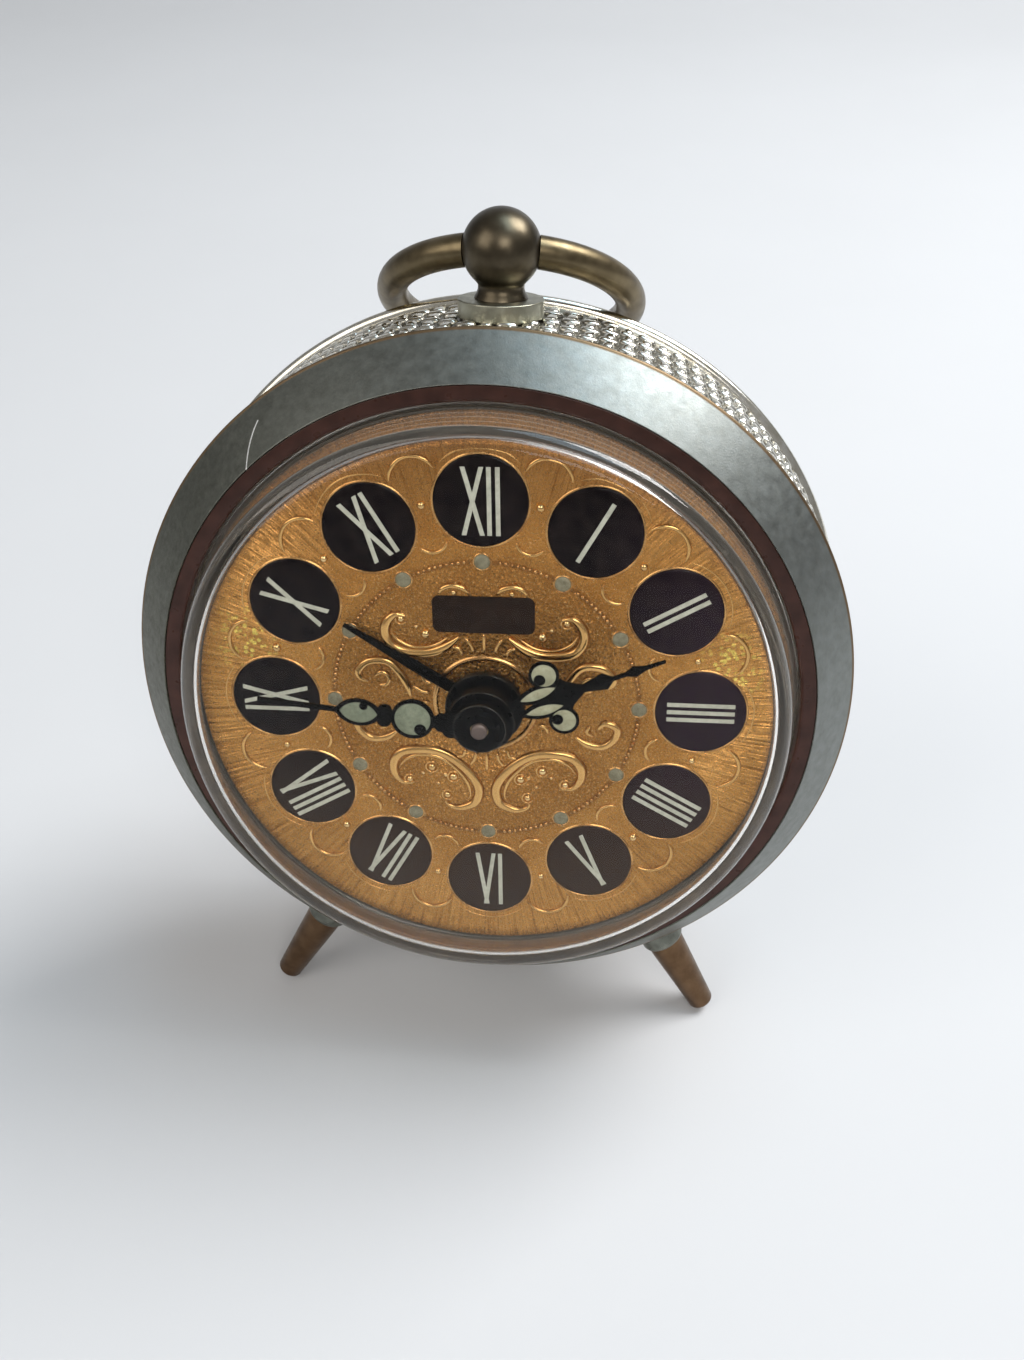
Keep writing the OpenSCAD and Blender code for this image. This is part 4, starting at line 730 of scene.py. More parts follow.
def pillow_object(name, length, width, height):
    """A cushion of a few faces that stands along +Z."""
    rows = [(1.0, 1.0, -0.12), (0.98, 0.96, 0.25), (0.84, 0.78, 0.78), (0.5, 0.42, 1.0)]
    points, faces, around = [], [], 10
    for along, across, up in rows:
        for s in range(around):
            a = 2 * math.pi * (s + 0.5) / around
            c, d = math.cos(a), math.sin(a)
            square = max(abs(c), abs(d)) ** 0.7
            points.append((length / 2 * along * c / square, width / 2 * across * d / square, height * up))
    for r in range(len(rows) - 1):
        for s in range(around):
            t = (s + 1) % around
            faces.append((r * around + s, r * around + t, (r + 1) * around + t, (r + 1) * around + s))
    faces.append(tuple(range(len(points) - around, len(points))))
    mesh = bpy.data.meshes.new(name)
    mesh.from_pydata(points, [], faces)
    return bpy.data.objects.new(name, mesh)

print("node trees can be grown into meshes")

# %% [markdown]
# The weave is a grid of points wrapped round the band. Each point is given the direction that
# points straight out, and every second pillow is turned by a quarter, as over and under strands
# are in a basket. The hand of the presser is never exact, so each pillow is turned a little more.

# %% Basket weave round the band
WEAVE_COLUMNS, WEAVE_ROWS = 118, 7
PILLOW_L, PILLOW_W, PILLOW_H = 2.25, 1.25, 0.42
UNEVEN = 0.12
weave = Plan("basket weave", {
    "Columns": WEAVE_COLUMNS, "Rows": WEAVE_ROWS, "Band radius": BAND_R - 0.2,
    "Front": BAND_FRONT + 0.95, "Back": BAND_BACK - 2.45})
strand = pillow_object("strand", PILLOW_L, PILLOW_W, PILLOW_H)
columns, rows = weave.ask("Columns"), weave.ask("Rows")
spots = weave.node("GeometryNodeMeshLine", None, {"Count": columns * rows, "Offset": (0, 0, 0)})
number = weave.node("GeometryNodeInputIndex")
column = number % columns
row = (number - column) / columns
turn = column * (2 * math.pi) / columns
depth = weave.ask("Front") + (row + 0.5) * (weave.ask("Back") - weave.ask("Front")) / rows
out = weave.ask("Band radius")
placed = weave.node("GeometryNodeSetPosition", None, {
    "Geometry": spots, "Position": weave.join(out * turn.cosine(), depth, out * turn.sine())})
spin = ((column + row) % 2) * (math.pi / 2)
loose = weave.node("FunctionNodeRandomValue", {"data_type": "FLOAT"}, {
    2: -UNEVEN, 3: UNEVEN, "Seed": 4}, out=1)
facing = weave.node("FunctionNodeEulerToRotation", None, {0: weave.join(0.0, math.pi / 2 - turn, 0.0)})
own = weave.node("FunctionNodeEulerToRotation", None, {0: weave.join(0.0, 0.0, spin + loose)})
aim = weave.node("FunctionNodeRotateRotation", {"rotation_space": "LOCAL"}, {
    "Rotation": facing, "Rotate By": own})
pillow = weave.node("GeometryNodeObjectInfo", None, {"Object": strand}, out=4)
laid = weave.node("GeometryNodeInstanceOnPoints", None, {
    "Points": placed, "Instance": pillow, "Rotation": aim})
finish_piece("basket_weave", weave.grow(laid, finishes["embossed_band"], CLOCK), "case", "embossed_band",
             sharp=math.radians(60))

# %% [markdown]
# The dial's sheet is one flat disc with a shallow dish round the hands' hub. The twelve medallions
# are separate dark domes let into it, each in a thin gold rim, and the lume dots are small pads.
# All twelve are the same shape on a circle, so one is drawn and copied with a turn of thirty degrees.
# A thin dull ring closes the gap between the dial's edge and the crystal's foot.

# %% Dial, medallions and lume dots
HUB_HOLE, DISH, DIAL_BACK = 2.75, 0.12, 0.5
MEDALLION_CIRCLE, MEDALLION_R, MEDALLION_UP = 23.5, 4.93, 0.2
DOT_R, SET_IN = 0.85, 0.2
HOURS = range(1, 13)
dial_profile = [(HUB_HOLE, DISH), (HUB_HOLE + 3.8, DISH), (HUB_HOLE + 4.0, DISH * 0.8), (HUB_HOLE + 4.2, 0),
                (16.0, 0), (24.0, 0), (DIAL_R - 0.1, 0), (DIAL_R, 0.08), (DIAL_R, DIAL_BACK),
                (HUB_HOLE, DIAL_BACK)]
turned("dial_sheet", dial_profile, "case", "dial_copper", ("dial",))
seat_profile = [(DIAL_R + 0.02, 0.3), (DIAL_R + 0.2, 1.0), (DIAL_R + 2.4, 1.0), (DIAL_R + 2.4, 1.2),
                (DIAL_R, 1.2)]
turned("crystal_seat", seat_profile, "case", "dial_copper", finish="seat_bronze")

def on_dial(hour, circle):
    """The place of a small piece on the dial, upright as seen from the middle."""
    return DIAL @ Matrix.Rotation(math.radians(30 * hour), 4, "Y") @ Matrix.Translation((0, 0, circle))

def joined(meshes):
    work = bmesh.new()
    for mesh in meshes:
        work.from_mesh(mesh)
    whole = bpy.data.meshes.new("joined")
    work.to_mesh(whole)
    work.free()
    return whole

def twelve(profile, circle, closed, segments):
    """One small turning at every hour, as one mesh."""
    return joined(turned_mesh(profile, on_dial(hour, circle), closed, segments) for hour in HOURS)

medallion = [(0, -MEDALLION_UP), (2.5, -MEDALLION_UP + 0.015), (4.2, -MEDALLION_UP + 0.045),
             (4.62, -MEDALLION_UP + 0.075), (4.84, -0.08), (MEDALLION_R, 0.0), (MEDALLION_R, SET_IN),
             (0, SET_IN)]
rim = [(MEDALLION_R - 0.04, 0.1), (MEDALLION_R - 0.02, -0.05), (MEDALLION_R + 0.07, -0.1),
       (MEDALLION_R + 0.17, -0.06), (MEDALLION_R + 0.26, 0.02), (MEDALLION_R + 0.2, 0.1)]
dot = [(0, -0.14), (0.45, -0.125), (0.72, -0.08), (DOT_R, 0.0), (DOT_R, SET_IN), (0, SET_IN)]
dot_rim = [(DOT_R - 0.05, 0.08), (DOT_R, -0.04), (DOT_R + 0.06, -0.07), (DOT_R + 0.13, -0.04),
           (DOT_R + 0.2, 0.04)]
finish_piece("medallions_dressed", twelve(medallion, MEDALLION_CIRCLE, False, 72), "case",
             "medallion_dark", stands_for=("hour_medallions",))
finish_piece("medallion_rims", twelve(rim, MEDALLION_CIRCLE, True, 72), "case", "dial_copper",
             "dial_gold_edge", sharp=math.radians(70))
finish_piece("lume_dots_dressed", twelve(dot, DOT_CIRCLE, False, 32), "case", "lume",
             stands_for=("dial_lume_dots",))
finish_piece("dot_rims", twelve(dot_rim, DOT_CIRCLE, True, 32), "case", "dial_copper",
             "dial_gold_edge", sharp=math.radians(70))

# %% [markdown]
# The numerals are printed as plain bars of one width, cream on the dark medallions. They stand with
# their feet towards the dial's middle, and from five to eight, round the bottom, they are turned
# over. Each numeral is a list of strokes, and each stroke is a thin bar with a flat front.

# %% Numerals
BAR_H, BAR_W, BAR_STEP, LEG, MEET = 7.3, 0.47, 0.9, 0.95, 0.1
BAR_FRONT, BAR_BACK, CROSSING_LIFT = -MEDALLION_UP - 0.035, -MEDALLION_UP + 0.07, 0.004
NUMERALS = {12: "XII", 1: "I", 2: "II", 3: "III", 4: "IIII", 5: "V", 6: "VI", 7: "VII", 8: "VIII",
            9: "IX", 10: "X", 11: "XI"}

def strokes(numeral):
    """The strokes of a numeral as pairs of ends, centred, tops up."""
    x, lines, last = 0.0, [], None
    for letter in numeral:
        half = 0 if letter == "I" else LEG
        if last is not None:
            x += BAR_STEP if last == half == 0 else half + last + BAR_STEP * 0.84
        h = BAR_H / 2
        if letter == "I":
            lines.append(((x, -h), (x, h)))
        elif letter == "V":
            lines += [((x - LEG, h), (x + MEET, -h)), ((x + LEG, h), (x - MEET, -h))]
        else:
            lines += [((x - LEG, h), (x + LEG, -h)), ((x + LEG, h), (x - LEG, -h))]
        last = half
    xs = [p[0] for line in lines for p in line]
    middle = (min(xs) + max(xs)) / 2
    return [((a[0] - middle, a[1]), (b[0] - middle, b[1])) for a, b in lines]

def bar(start, end, lift):
    """A printed bar whose ends are cut level, as points and faces; bars that cross differ in lift."""
    (x0, z0), (x1, z1) = start, end
    w = BAR_W / 2 * math.hypot(x1 - x0, z1 - z0) / abs(z1 - z0)
    corners = [(x0 - w, z0), (x0 + w, z0), (x1 + w, z1), (x1 - w, z1)]
    points = [(x, BAR_FRONT - lift, z) for x, z in corners] + [(x, BAR_BACK, z) for x, z in corners]
    return points, [(0, 1, 2, 3), (7, 6, 5, 4)] + [(i, (i + 1) % 4, (i + 1) % 4 + 4, i + 4) for i in range(4)]

bars = []
for hour, numeral in NUMERALS.items():
    place = on_dial(hour, MEDALLION_CIRCLE)
    if 4 < hour < 9:
        place = place @ Matrix.Rotation(math.pi, 4, "Y")
    for n, (start, end) in enumerate(strokes(numeral)):
        bars.append(outward(mesh_from(*bar(start, end, CROSSING_LIFT * n), place)))
finish_piece("numerals", joined(bars), "case", "lume", "numeral")

# %% [markdown]
# The ornament is a common one of scrolls and beads, raised by the press as soft round ridges. Each
# scroll is drawn once by a few points on its crest. A smooth curve goes through them and a low arch
# is swept along it, thin at both ends, so that one function serves every ridge of the dial.

# %% Ridges
def smooth_path(points, step=0.22):
    """Evenly spaced points on a Catmull-Rom curve through the given ones."""
    pts = [Vector(p) for p in points]
    pts = [2 * pts[0] - pts[1]] + pts + [2 * pts[-1] - pts[-2]]
    dense = []
    for p0, p1, p2, p3 in zip(pts, pts[1:], pts[2:], pts[3:]):
        for k in range(12):
            t = k / 12
            dense.append(0.5 * (2 * p1 + (p2 - p0) * t + (2 * p0 - 5 * p1 + 4 * p2 - p3) * t * t
                                + (3 * p1 - p0 - 3 * p2 + p3) * t ** 3))
    dense.append(pts[-2])
    path, walked = [dense[0]], 0.0
    for a, b in zip(dense, dense[1:]):
        walked += (b - a).length
        if walked >= step:
            path.append(b)
            walked = 0.0
    return path

ARCH = [(-1.0, 0.06), (-0.84, -0.5), (-0.55, -0.9), (0.0, -1.0), (0.55, -0.9), (0.84, -0.5), (1.0, 0.06)]
CREST = [0.0, 0.5, 0.9, 0.8, 0.9, 0.5, 0.0]
RIDGE_FOOT = 0.05

def raised(pieces):
    """Ridges joined into one mesh that knows how near its crest each point is."""
    meshes = []
    for (verts, faces), place in pieces:
        mesh = mesh_from(verts, faces, place)
        mesh.attributes.new("crest", "FLOAT", "POINT")
        for i, value in enumerate(mesh.attributes["crest"].data):
            value.value = CREST[i % len(CREST)]
        meshes.append(outward(mesh))
    return joined(meshes)

def ridge(points, width, height, thin=0.25):
    """A low arch along a path on the dial, thin at both ends, as points and faces."""
    path = smooth_path(points)
    count, verts, faces = len(path), [], []
    for i, p in enumerate(path):
        ahead = path[min(i + 1, count - 1)] - path[max(i - 1, 0)]
        side = Vector((-ahead.y, ahead.x)).normalized()
        end = min(i, count - 1 - i) / max(1.0, 0.22 * count)
        full = thin + (1 - thin) * math.sin(min(1.0, end) * math.pi / 2)
        for across, up in ARCH:
            q = p + side * across * width / 2 * full
            verts.append((q.x, up * height * (0.3 + 0.7 * full) if up < 0 else RIDGE_FOOT, q.y))
    n = len(ARCH)
    for i in range(count - 1):
        for k in range(n):
            m = (k + 1) % n
            faces.append((i * n + k, i * n + m, (i + 1) * n + m, (i + 1) * n + k))
    faces += [tuple(range(n)), tuple(range((count - 1) * n, count * n))]
    return verts, faces

print("ridges can be raised")

# %% [markdown]
# Each quarter of the dial's middle holds a big scroll with a fine line inside it, and each side has
# an upper and a lower curl. The left side is drawn here, with the big scroll in its lower quarter,
# and mirroring gives the rest. A bead has its place on the dial and its radius.

# %% Crests of the ornament
BIG_SCROLL = [(-8.46, -10.45), (-9.62, -10.51), (-10.6, -9.35), (-10.62, -7.76), (-9.64, -6.52), (-7.8, -6.1),
              (-5.76, -6.21), (-3.97, -7.04), (-2.2, -8.67), (-1.22, -10.22), (-0.98, -11.55),
              (-1.51, -12.94), (-3.27, -13.71), (-4.65, -13.24), (-4.84, -12.16)]
BIG_INNER = [(-10.05, -8.53), (-9.3, -7.5), (-7.76, -6.78), (-5.78, -6.9), (-4.3, -7.72), (-2.8, -9.3),
             (-2.1, -10.79), (-2.0, -12.1), (-2.65, -12.85)]
UPPER_CURL = [(-12.94, 2.37), (-13.8, 2.83), (-13.97, 3.69), (-12.78, 4.83), (-10.79, 4.91), (-9.54, 3.74),
              (-8.63, 2.05), (-8.26, 0.57)]
UPPER_INNER = [(-12.2, 3.0), (-11.4, 3.6), (-10.6, 3.0), (-10.9, 2.1), (-11.8, 2.0)]
LOWER_CURL = [(-9.93, -3.68), (-11.27, -4.64), (-13.03, -4.82), (-14.32, -3.74), (-14.51, -2.46),
              (-13.18, -1.89), (-12.33, -2.81)]
LOWER_INNER = [(-12.0, -3.6), (-11.2, -3.0), (-11.6, -2.2)]
OVER_PLATE = [(-4.7, 13.15), (-4.25, 13.75), (-3.2, 14.1), (-2.05, 13.8), (-1.45, 13.2)]
RINGED_BEADS = [(-6.3, -8.34, 0.5), (-3.83, -9.55, 0.5), (-8.9, -10.07, 0.4), (-4.6, -12.01, 0.42)]
PLAIN_BEADS = [(-4.74, -9.33, 0.3), (-7.3, -9.2, 0.22), (-5.6, -10.5, 0.22)]
print("beads between the scrolls of one quarter:", len(RINGED_BEADS + PLAIN_BEADS))

# %% [markdown]
# A scroll must stop where the bare plate under twelve begins. Cutting its mesh there would leave raw
# ends, so the path is cut instead, and each stretch gets thin ends of its own. Small arcs bridge the
# plate's top, and thin rings go round the larger beads between the scrolls.

# %% Raised scrolls
PLATE_W, PLATE_H, PLATE_UP = 11.0, 4.3, 10.8
SHORTEST_RUN = 8

def mirrored(points, x, z):
    return [(p[0] * x, p[1] * z) for p in points]

def over_plate(x, z, beside, above):
    """Whether a spot lies on the bare plate under twelve, or so near to its sides or its top."""
    return abs(x) < PLATE_W / 2 + beside and abs(z - PLATE_UP) < PLATE_H / 2 + above

def beside_plate(points):
    """The stretches of a path that stay clear of the bare plate."""
    runs, run = [], []
    for p in smooth_path(points, 0.4):
        inside = over_plate(p[0], p[1], 0.35, 0.3)
        if inside and len(run) > SHORTEST_RUN:
            runs.append(run)
        run = [] if inside else run + [tuple(p)]
    return runs + ([run] if len(run) > SHORTEST_RUN else [])

reliefs = []
for x in (1, -1):
    for z in (1, -1):
        for path in beside_plate(mirrored(BIG_SCROLL, x, z)):
            reliefs.append(ridge(path, 1.2, 0.36))
        for path in beside_plate(mirrored(BIG_INNER, x, z)):
            reliefs.append(ridge(path, 0.45, 0.18))
    for path, width, height, thin in ((UPPER_CURL, 0.95, 0.3, 0.25), (LOWER_CURL, 0.95, 0.3, 0.25),
                                      (UPPER_INNER, 0.5, 0.2, 0.25), (LOWER_INNER, 0.5, 0.2, 0.25),
                                      (OVER_PLATE, 0.62, 0.25, 0.4)):
        reliefs.append(ridge(mirrored(path, x, 1), width, height, thin))
    for bead_x, bead_z, size in RINGED_BEADS:
        ring_r = size * 0.7 + 0.34
        for z in (1, -1):
            if not over_plate(bead_x, bead_z * z, 0.9, 0.9):
                reliefs.append(ridge([(bead_x * x + ring_r * math.cos(t), bead_z * z + ring_r * math.sin(t))
                                      for t in angles(40, 341, 20)], 0.24, 0.1, 0.5))
finish_piece("dial_scrolls", raised((relief, DIAL) for relief in reliefs), "case", "dial_copper",
             "dial_ridge", sharp=math.radians(80))

# %% [markdown]
# Thin crescents stand between the medallions, an outer and an inner one at every half hour, and a
# hair-thin arc follows the outside of each medallion. All are arcs on the same circle of twelve, so
# each path is turned twelve times. Four fans of five short rays stand round the hub.

# %% Crescents and rays
OUTER_CRESCENT, INNER_CRESCENT = (26.5, 2.5, -78, 78), (20.0, 1.6, 115, 245)
HAIR_ARC = (MEDALLION_CIRCLE, 5.75, -46, 46, 20)
RAY_FROM, RAY_BEND, RAY_TO = 6.3, 7.2, 8.6

def around(radius, degrees, middle=0.0):
    """A spot on a circle, counted clockwise from the top."""
    return radius * math.sin(math.radians(degrees)), middle + radius * math.cos(math.radians(degrees))

def arc(middle, radius, start, end, steps=12):
    return [around(radius, start + (end - start) * k / steps, middle) for k in range(steps + 1)]

def turned_dial(degrees):
    return DIAL @ Matrix.Rotation(math.radians(degrees), 4, "Y")

crescents = []
for hour in HOURS:
    crescents.append((ridge(arc(*OUTER_CRESCENT), 0.5, 0.2, 0.3), turned_dial(30 * hour + 15)))
    crescents.append((ridge(arc(*INNER_CRESCENT), 0.42, 0.17, 0.3), turned_dial(30 * hour + 15)))
    crescents.append((ridge(arc(*HAIR_ARC), 0.2, 0.06), turned_dial(30 * hour)))
for quarter in range(4):
    for out_of_line in (-2, -1, 0, 1, 2):
        ray = [around(RAY_FROM, 11 * out_of_line), around(RAY_BEND, 11 * out_of_line),
               around(RAY_TO - 0.35 * abs(out_of_line), 14 * out_of_line)]
        crescents.append((ridge(ray, 0.42, 0.15, 0.3), turned_dial(90 * quarter)))
finish_piece("dial_crescents", raised(crescents), "case", "dial_copper", "dial_ridge", sharp=math.radians(80))
turned("hub_ring", [(5.25, 0.14), (5.4, -0.02), (5.6, -0.07), (5.8, -0.02), (5.95, 0.14)], "case",
       "dial_copper", place=DIAL, finish="dial_gold_edge", segments=128, sharp=math.radians(70))

# %% [markdown]
# Beads are what catches the light on this dial: a chain of tiny ones joins the lume dots, and a
# bigger one stands in each gap between medallions. Geometry Nodes set them out on their circles and
# leave out those under a lume dot. The few beads between the scrolls stand where the scrolls leave
# room, so they are placed one by one. All use one low ball of few faces.

# %% Beads
CHAIN_COUNT, CHAIN_BEAD, DOT_CLEARANCE = 168, 0.24, 4.6
HALF_HOUR_CIRCLE, HALF_HOUR_BEAD = 23.7, 0.46
PLATE_BEAD = (-3.1, 13.3, 0.3)

bead_mesh = bpy.data.meshes.new("bead")
ball = bmesh.new()
bmesh.ops.create_uvsphere(ball, u_segments=10, v_segments=6, radius=1.0)
ball.to_mesh(bead_mesh)
ball.free()
bead = bpy.data.objects.new("bead", bead_mesh)

def bead_circle(name, count, circle, size, skip_every=0, skip_within=0.0, first=0.0):
    """Beads of uneven size on a circle of the dial, but for those near every so many degrees."""
    plan = Plan(name, {"Count": count, "Circle": circle, "Size": size, "First": first})
    circle_r = plan.ask("Circle")
    along = (plan.node("GeometryNodeInputIndex") + plan.ask("First")) * (2 * math.pi) / plan.ask("Count")
    line = plan.node("GeometryNodeMeshLine", None, {"Count": plan.ask("Count"), "Offset": (0, 0, 0)})
    spots = plan.node("GeometryNodeSetPosition", None, {
        "Geometry": line, "Position": plan.join(circle_r * along.sine(), 0.0, circle_r * along.cosine())})
    chosen = {}
    if skip_every:
        near = abs((along * (180 / math.pi) + skip_every / 2) % skip_every - skip_every / 2)
        chosen = {"Selection": near > skip_within}
    uneven = plan.node("FunctionNodeRandomValue", {"data_type": "FLOAT"}, {
        2: 0.82, 3: 1.12, "Seed": 7}, out=1)
    one = plan.node("GeometryNodeObjectInfo", None, {"Object": bead}, out=4)
    full = plan.ask("Size") * uneven
    set_out = plan.node("GeometryNodeInstanceOnPoints", None, {
        "Points": spots, "Instance": one, "Scale": plan.join(full, full * 0.8, full), **chosen})
    return plan.grow(set_out, finishes["dial_bead"], DIAL)

def loose_bead(x, z, size):
    """One bead by itself, a little flatter than the others."""
    mesh = bead_mesh.copy()
    mesh.transform(DIAL @ Matrix.Translation((x, 0, z)) @ Matrix.Diagonal((size, size * 0.7, size, 1)))
    return mesh

chain = bead_circle("bead chain", CHAIN_COUNT, DOT_CIRCLE, CHAIN_BEAD, 30, DOT_CLEARANCE)
half_hours = bead_circle("half hour beads", 12, HALF_HOUR_CIRCLE, HALF_HOUR_BEAD, first=0.5)
finish_piece("bead_chain", chain, "case", "dial_copper", "dial_gold_edge", sharp=math.radians(80))
finish_piece("half_hour_beads", half_hours, "case", "dial_copper", "dial_bead", sharp=math.radians(80))
loose_beads = [loose_bead(bead_x * x, bead_z * z, size)
               for bead_x, bead_z, size in RINGED_BEADS + PLAIN_BEADS for x in (1, -1) for z in (1, -1)
               if not over_plate(bead_x, bead_z * z, 0.6, 0.5)]
loose_beads += [loose_bead(PLATE_BEAD[0] * x, *PLATE_BEAD[1:]) for x in (1, -1)]
finish_piece("scroll_beads", joined(loose_beads), "case", "dial_copper", "dial_bead", sharp=math.radians(80))

# %% [markdown]
# Under twelve a dark plate is let into the dial. It stays bare. Its corners are round and its edge
# falls away softly, so it is drawn as a stack of rounded outlines, each a little larger and lower.

# %% Bare plate
PLATE_STEPS = ((0.2, 0.0, 0.8), (-0.02, 0.0, 0.8), (-0.09, 0.1, 0.76), (-0.1, 0.3, 0.7))

def round_box(width, height, corner, steps=6):
    out = []
    for side_x, side_z, start in ((1, 1, 0), (-1, 1, 90), (-1, -1, 180), (1, -1, 270)):
        middle_x, middle_z = side_x * (width / 2 - corner), side_z * (height / 2 - corner)
        for k in range(steps + 1):
            a = math.radians(start + 90 * k / steps)
            out.append((middle_x + corner * math.cos(a), middle_z + corner * math.sin(a)))
    return out

def stacked(outlines, place):
    """A solid through outlines of the same count, given with their depths."""
    n, floors = len(outlines[0][1]), len(outlines)
    points = [(x, depth, z) for depth, outline in outlines for x, z in outline]
    faces = [tuple(range(n)), tuple(range((floors - 1) * n, floors * n))]
    for i in range(floors - 1):
        for k in range(n):
            m = (k + 1) % n
            faces.append((i * n + k, i * n + m, (i + 1) * n + m, (i + 1) * n + k))
    return outward(mesh_from(points, faces, place))

plate_outlines = [(depth, round_box(PLATE_W - less, PLATE_H - less, corner))
                  for depth, less, corner in PLATE_STEPS]
plate = stacked(plate_outlines, DIAL @ Matrix.Translation((0, 0, PLATE_UP)))
finish_piece("bare_plate_dressed", plate, "case", "plate_brown", stands_for=("bare_plate",))

# %% [markdown]
# The hands are stamped from thin sheet and lacquered black, with lume laid into their windows. The
# solids have the outlines, so their edges are rounded, and the lume pads get a slightly crowned edge
# of their own. The centre arbor shows its brown-grey end in front of the black hub. Handling rubs
# the rims of the three bosses smooth, and a thin rolled edge on each draws the line of light there.

# %% Hands
for node in ("hour_hand", "minute_hand", "alarm_hand"):
    softened(node, 0.07)
softened("hour_hand_lume", 0.05, finish="lume_cream")
softened("minute_hand_lume", 0.05, finish="lume_green")
softened("center_arbor", 0.3, 4, finish="arbor_brown")

COLLET_BACK, COLLET_FRONT = -5.5, -5.95
collet_profile = rounded([(0.98, COLLET_BACK), (0.98, COLLET_FRONT), (1.9, COLLET_FRONT),
                          (2.3, COLLET_BACK)], 0.1)
turned("hand_collet", collet_profile, "minute_arbor", "hand_black", segments=96)

EDGE_R = 0.085
BOSSES = {"alarm_indicator": (4.3, -1.25), "hour": (3.6, -4.0), "minute_arbor": (2.85, -5.55)}
for body, (boss_r, boss_front) in BOSSES.items():
    edge_middle = (boss_r - EDGE_R * 0.6, boss_front + EDGE_R * 0.6)
    edge = [(edge_middle[0] + EDGE_R * math.cos(t), edge_middle[1] + EDGE_R * math.sin(t))
            for t in angles(0, 360, 45)]
    turned(body + "_boss_edge", edge, body, "hand_black", finish="hand_edge", segments=128,
           sharp=math.radians(80))

# %% [markdown]
# The finial is a cast ball on a short neck, standing on a turned washer. Its stem narrows under the
# ball and flares where it meets the washer. The ball carries the ring's two pins in one cross hole,
# which the ring's ends hide, so the visible shape is a plain turning about an upright axis. It is a
# hair smaller than its solid, because the dressed clock may be no bigger than the solids.

# %% Finial
BALL_R, BALL_RISE, FINIAL_DEPTH = 4.117, 6.6, 11.75
WASHER_R, WASHER_H = 4.5, 1.75
BALL_PLACE = CLOCK @ Matrix.Translation((0, FINIAL_DEPTH, BAND_R + BALL_RISE))
FINIAL = BALL_PLACE @ Matrix.Rotation(math.pi / 2, 4, "X")

finial_profile = [(0, BALL_R)] + [(BALL_R * math.sin(t), BALL_R * math.cos(t)) for t in angles(4, 143, 4)]
finial_profile += [(2.44, -3.42), (2.40, -3.65), (2.43, -3.95), (2.56, -4.3), (2.74, -4.6),
                   (2.80, -4.83), (0, -4.83)]
turned("finial_dressed", finial_profile, "case", "bronze", ("finial",), FINIAL, closed=False, segments=128,
       finish="bronze_dark")

washer_foot, washer_top = -BALL_RISE - 0.1, -BALL_RISE + WASHER_H
washer_profile = rounded([(0, washer_foot), (WASHER_R, washer_foot), (WASHER_R, washer_top),
                          (3.0, washer_top), (0, washer_top)], 0.14, closed=False)
turned("finial_washer_dressed", washer_profile, "case", "washer_brass", ("finial_washer",), FINIAL,
       closed=False, segments=128)
print("finial's middle:", [round(c * 1000, 1) for c in BALL_PLACE.translation])

# %% [markdown]
# The carrying ring is a bent wire that lies back behind the ball, and its two ends are hollowed to
# fit round it. Cutting the wire with a sphere would leave ragged faces. The rule is simple enough
# to solve: each fibre of the wire starts where it comes near the ball. Geometry Nodes lay a grid of
# points on those fibres.

# %% Carrying ring
RING_R, WIRE_R, RING_LIE, BALL_GAP = 13.35, 1.694, 122.0, 0.08
ALONG, ROUND = 145, 41
RING = BALL_PLACE @ Matrix.Rotation(math.radians(-RING_LIE), 4, "X")
wire = Plan("bent wire", {"Along": ALONG, "Round": ROUND, "Ring radius": RING_R, "Wire radius": WIRE_R,
                          "Reach of the ball": BALL_R + BALL_GAP})
lattice = wire.node("GeometryNodeMeshGrid", None, {
    "Vertices X": wire.ask("Along"), "Vertices Y": wire.ask("Round")})
index = wire.node("GeometryNodeInputIndex")
fibre = index % wire.ask("Round")
station = (index - fibre) / wire.ask("Round")
phi = fibre * (2 * math.pi) / (wire.ask("Round") - 1)
ring_r, wire_r, reach_r = wire.ask("Ring radius"), wire.ask("Wire radius"), wire.ask("Reach of the ball")
fibre_r = ring_r + wire_r * phi.cosine()
off_plane = wire_r * phi.sine()
away = fibre_r * fibre_r + ring_r * ring_r + off_plane * off_plane
start = ((away - reach_r * reach_r) / (2 * ring_r * fibre_r)).arc_cosine()
theta = start + (2 * math.pi - 2 * start) * station / (wire.ask("Along") - 1)
bent = wire.node("GeometryNodeSetPosition", None, {"Geometry": lattice, "Position": wire.join(
    fibre_r * theta.sine(), off_plane, ring_r - fibre_r * theta.cosine())})
closed_up = wire.node("GeometryNodeMergeByDistance", None, {"Geometry": bent, "Distance": 0.002})
ring_mesh = wire.grow(closed_up, finishes["bronze"], RING)
ends = bmesh.new()
ends.from_mesh(ring_mesh)
bmesh.ops.holes_fill(ends, edges=[e for e in ends.edges if e.is_boundary], sides=0)
ends.to_mesh(ring_mesh)
ends.free()
finish_piece("carrying_ring_dressed", outward(ring_mesh), "carrying_ring", "bronze",
             stands_for=("carrying_ring",), sharp=math.radians(50))

# %% [markdown]
# Each foot is a tapered brass peg with a rounded end, screwed through the case and held off by a
# brown flange and a grey collar. They are three turnings on one axis, so one function draws them
# from the skin of the case down to the table, and each foot gives it its own lengths.

# %% A foot's three turnings
TOP_R, END_R, END_ROUND, FLANGE_R = 2.5, 1.6, 0.5, 2.95
COLLAR_SHOWN = 1.5

